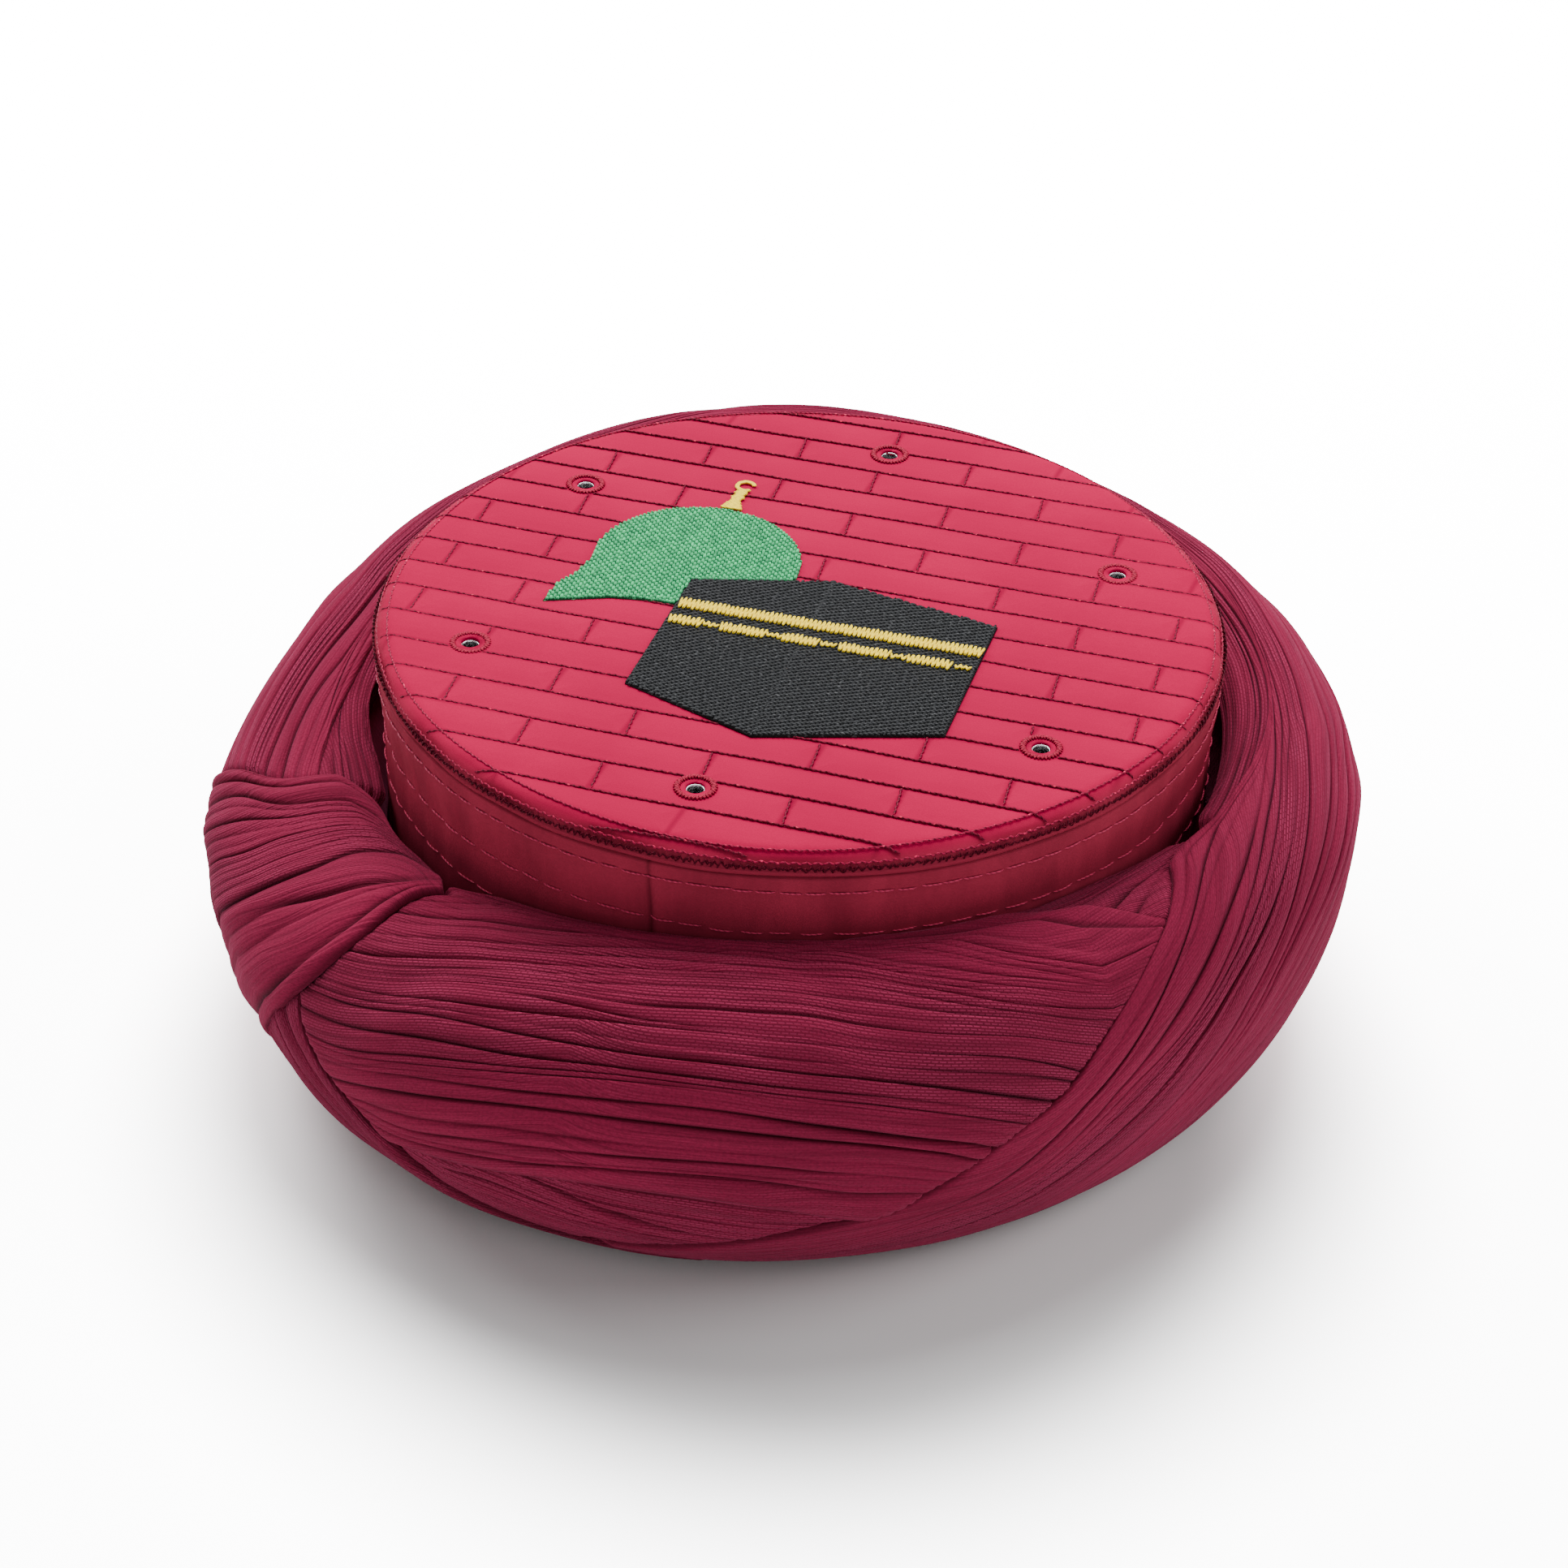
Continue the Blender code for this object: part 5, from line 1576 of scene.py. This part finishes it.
def stitched_area(name, node, outline, sets, material, base, seed):
    """An embroidered area: a thin backing, painted in deep shade, under many stitches, in one piece."""
    rng = np.random.default_rng(seed)
    points, faces, tones_and_shade, count = [], [], [], 0
    # Painted shade towards both ends of each stitch, where it meets the gaps; apart from this each stitch's tone
    # differs at random
    end_shade = np.repeat([0.1, 0.6, 1.0, 1.0, 0.6, 0.1], 4)[None, :]
    for starts, ends, rise, half_width in sets:
        p, f = stitch_arrays(starts, ends, base + rng.uniform(-0.03, 0.03, len(starts)), rise, half_width)
        points.append(p)
        faces.append(f + count)
        tones_and_shade.append((rng.uniform(0.55, 1, len(starts))[:, None] * end_shade).ravel())
        count += len(p)
    sides = len(outline)
    shell = np.concatenate([np.column_stack([outline, np.full(sides, z)]) for z in (TOP_Z - 0.15, base - 0.05)]) * MM
    ring = np.arange(sides)
    rim = np.stack([ring, (ring + 1) % sides, (ring + 1) % sides + sides, ring + sides], axis=1) + count
    caps = np.stack([ring[::-1], ring + sides]) + count
    piece = build_mesh(
        name,
        np.concatenate([*points, shell]),
        [np.concatenate([*faces, rim]), caps],
        material,
        None,
        {"tone_and_shade": np.concatenate([*tones_and_shade, np.zeros(2 * sides)])},
    )
    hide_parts(node)


class TURBAN_OT_embroidery(TurbanOperator, bpy.types.Operator):
    """The motif: a green dome, a black cube with two gold strips, and a gold finial, all of small stitches."""

    bl_idname = "turban.embroidery"
    bl_label = "Embroidery"

    def execute(self, context):
        colours, sizes = context.scene.turban_colours, context.scene.turban_sizes
        length = sizes.fill_stitch / MM
        green = stitched_material("green stitches", colours.green, 0.5, 0.12)
        black = stitched_material("black stitches", colours.black, 0.45, 0.2)
        gold = thread_material("gold thread", colours.gold, 0.5, 0.0, 0.0016, 0.03, 0.8)

        dome = dome_outline()
        base = TOP_Z + DOME_BASE
        sets = [(*filling(dome, 97, length, DOME_PITCH, 3, 0.5), *DOME_STITCH)]
        stitched_area("dome_stitches", "dome_embroidery", dome, sets, green, base, 4)

        cube = np.array(CUBE_OUTLINE, float)
        left = np.array([cube[0], cube[1] + (0.7, 0.2), (CUBE_EDGE_X + 0.5, -50.3), cube[5]])
        right = np.array([cube[1] - (0.5, 0), cube[2], cube[3], cube[4] - (0.3, 0)])
        faces = ((left, -6, 7), (right, -14, 8))
        base = TOP_Z + CUBE_BASE
        sets = [(*filling(area, angle, length, CUBE_PITCH, seed), *CUBE_STITCH) for area, angle, seed in faces]
        stitched_area("cube_stitches", "cube_embroidery", cube, sets, black, base, 9)

        self.belt(gold)
        self.finial(gold)
        return {"FINISHED"}

    def belt(self, gold):
        """Two gold strips of close zigzags; the lower one breaks off for small lozenges."""
        (x0, y0), (x1, y1) = BELT_EDGES
        slope = (y1 - y0) / (x1 - x0)

        def zigzag(start, end, high, low, pitch, seed):
            rng = np.random.default_rng(seed)
            count = int((end - start) / pitch)
            x = np.linspace(start, end, 2 * count + 1)
            upper = np.arange(2 * count + 1) % 2 == 0
            y = np.where(upper, high, low) + rng.uniform(-0.22, 0.22, len(x)) + (x - x0) * slope
            z = TOP_Z + 1.0 + rng.uniform(-0.08, 0.08, len(x))
            return along(np.column_stack([x, y, z]), 0.5)[0] * MM

        paths = [zigzag(x0 + 0.4, x1 - 0.3, y0 + 0.2, y0 - BELT_WIDTH - 0.1, 0.96, 21)]
        piece = thread_piece("belt_upper_thread", paths, BELT_THREAD * MM, gold)
        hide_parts("belt_upper_embroidery")

        paths = []
        for number, (start, end) in enumerate(BELT_RUNS):
            high, low = y0 - BELT_DROP + 0.5, y0 - BELT_DROP - BELT_WIDTH + 0.7
            paths.append(zigzag(x0 + start, x0 + end, high, low, 0.95, 30 + number))
        level = y0 - BELT_DROP - 1.2
        for number, middle in enumerate(BELT_KNOTS):
            start, end = x0 + middle - KNOT_HALF, x0 + middle + KNOT_HALF
            paths.append(zigzag(start, end, level + 0.8, level - 0.9, 1.13, 40 + number))
        piece = thread_piece("belt_lower_thread", paths, BELT_THREAD * MM, gold)
        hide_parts("belt_lower_embroidery")

    def finial(self, gold):
        """A turned spike of side-to-side stitches, topped by an open crescent of thread."""
        rows = columns(FINIAL_COLUMNS, FINIAL_ROWS)
        height = np.arange(0, rows["height"][-1], 0.2)
        middle, half = (np.interp(height, rows["height"], rows[name]) for name in FINIAL_COLUMNS[1:])
        side = np.where(np.arange(len(height)) % 2 == 0, -1, 1)
        zig = np.column_stack([middle + side * half, FINIAL_BASE_Y + height, np.full(len(height), TOP_Z + 0.35)])
        zig = along(zig, 0.35)[0]
        zig[:, 2] += 0.1
        centre = (rows["middle"][-1], FINIAL_BASE_Y + rows["height"][-1] + CRESCENT_RADIUS + 0.3)
        loops = [zig * MM]
        for extra in (-0.28, 0.0, 0.28):
            ring = arc(centre, CRESCENT_RADIUS + extra, *CRESCENT_ARC, 40)
            loops.append(np.column_stack([ring, np.full(len(ring), TOP_Z + 0.4)]) * MM)
        piece = thread_piece("finial_thread", loops, FINIAL_THREAD * MM, gold)
        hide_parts("finial_embroidery")


# Stage


class TURBAN_OT_stage(TurbanOperator, bpy.types.Operator):
    """A pale floor, soft studio lights, and the camera at the photograph's angle."""

    bl_idname = "turban.stage"
    bl_label = "Stage"

    def execute(self, context):
        scene = context.scene
        colours = scene.turban_colours
        material = self.floor_material(colours.floor)
        mesh = bpy.data.meshes.new("floor")
        corners = [(x * FLOOR_SIZE, y * FLOOR_SIZE, 0) for x, y in ((-1, -1), (1, -1), (1, 1), (-1, 1))]
        mesh.from_pydata(corners, [], [(0, 1, 2, 3)])
        mesh.materials.append(material)
        floor = bpy.data.objects.new("floor", mesh)
        scene.collection.objects.link(floor)

        for row in LIGHT_ROWS:
            self.light(*row)

        world = bpy.data.worlds.new("studio")
        world.use_nodes = True
        sky = world.node_tree.nodes["Background"]
        sky.inputs["Color"].default_value = (1, 1, 1, 1)
        sky.inputs["Strength"].default_value = SKY_LIGHT
        scene.world = world

        camera = bpy.data.cameras.new("camera")
        camera.sensor_width, camera.lens = CAMERA_SENSOR, CAMERA_LENS
        obj = bpy.data.objects.new("camera", camera)
        obj.location = CAMERA_PLACE
        obj.rotation_euler = tuple(math.radians(angle) for angle in CAMERA_TURN)
        scene.collection.objects.link(obj)
        scene.camera = obj
        return {"FINISHED"}

    def floor_material(self, colour):
        """A matt floor, which the camera sees brighter than it lights the object, and darker round the object as a
        painted shadow.
        """
        material, tree, shader = start_material("studio floor", 0.9)
        if tree is None:
            return material
        place = coordinates(tree, "Object")
        seen = add_node(tree, "ShaderNodeLightPath").outputs["Is Camera Ray"]
        x, y, _ = split(tree, place)
        x, y = minus(tree, x, FLOOR_SHADOW_MIDDLE[0]), minus(tree, y, FLOOR_SHADOW_MIDDLE[1])
        away = maths(tree, "POWER", plus(tree, times(tree, x, x), times(tree, y, y)), 0.5)
        # Painted shadow: near the object the camera sees the floor darker, and it brightens out through the ring
        gain = remap(tree, away, *FLOOR_SHADOW_FADE)
        plain = blend_colours(tree, noise(tree, place, 3.0), rgba(colour, 0.995), rgba(colour))
        bright = blend_colours(tree, gain, rgba(colour, 0.85), rgba(colour, FLOOR_GAIN))
        feed(tree, shader.inputs["Base Color"], blend_colours(tree, seen, plain, bright))
        return material

    def light(self, name, place, size, power):
        """A round soft lamp at a place in metres, turned towards the turban."""
        lamp = bpy.data.lights.new(name, "AREA")
        lamp.shape, lamp.size, lamp.energy = "DISK", size, power
        obj = bpy.data.objects.new(name, lamp)
        away = np.array(place) - np.array(LIGHT_TARGET)
        away = away / np.linalg.norm(away)
        side = np.cross((0, 0, 1.0), away)
        side /= np.linalg.norm(side)
        turn = np.column_stack([side, np.cross(away, side), away])
        obj.matrix_world = Matrix.Translation(place) @ Matrix(turn.tolist()).to_4x4()
        bpy.context.scene.collection.objects.link(obj)


OPERATORS = (
    TURBAN_OT_stage,
    TURBAN_OT_under_layers,
    TURBAN_OT_round_turns,
    TURBAN_OT_crossing_folds,
    TURBAN_OT_cap_wall,
    TURBAN_OT_cap_top,
    TURBAN_OT_eyelets,
    TURBAN_OT_top_stitching,
    TURBAN_OT_embroidery,
)


class TURBAN_PT_panel(bpy.types.Panel):
    """Lists the turban's pieces."""

    bl_idname = "TURBAN_PT_panel"
    bl_label = "Wound turban"
    bl_space_type = "VIEW_3D"
    bl_region_type = "UI"
    bl_category = "Turban"

    def draw(self, context):
        for operator in OPERATORS:
            self.layout.operator(operator.bl_idname)
        for group in (context.scene.turban_sizes, context.scene.turban_colours):
            for name in group.__annotations__:
                self.layout.prop(group, name)


def register():
    for made in (TurbanColours, TurbanSizes, *OPERATORS, TURBAN_PT_panel):
        bpy.utils.register_class(made)
    bpy.types.Scene.turban_colours = bpy.props.PointerProperty(type=TurbanColours)
    bpy.types.Scene.turban_sizes = bpy.props.PointerProperty(type=TurbanSizes)


def unregister():
    del bpy.types.Scene.turban_sizes
    del bpy.types.Scene.turban_colours
    for made in reversed((TurbanColours, TurbanSizes, *OPERATORS, TURBAN_PT_panel)):
        bpy.utils.unregister_class(made)


def main():
    register()
    for operator in OPERATORS:
        group, name = operator.bl_idname.split(".")
        getattr(getattr(bpy.ops, group), name)()


if __name__ == "__main__":
    main()
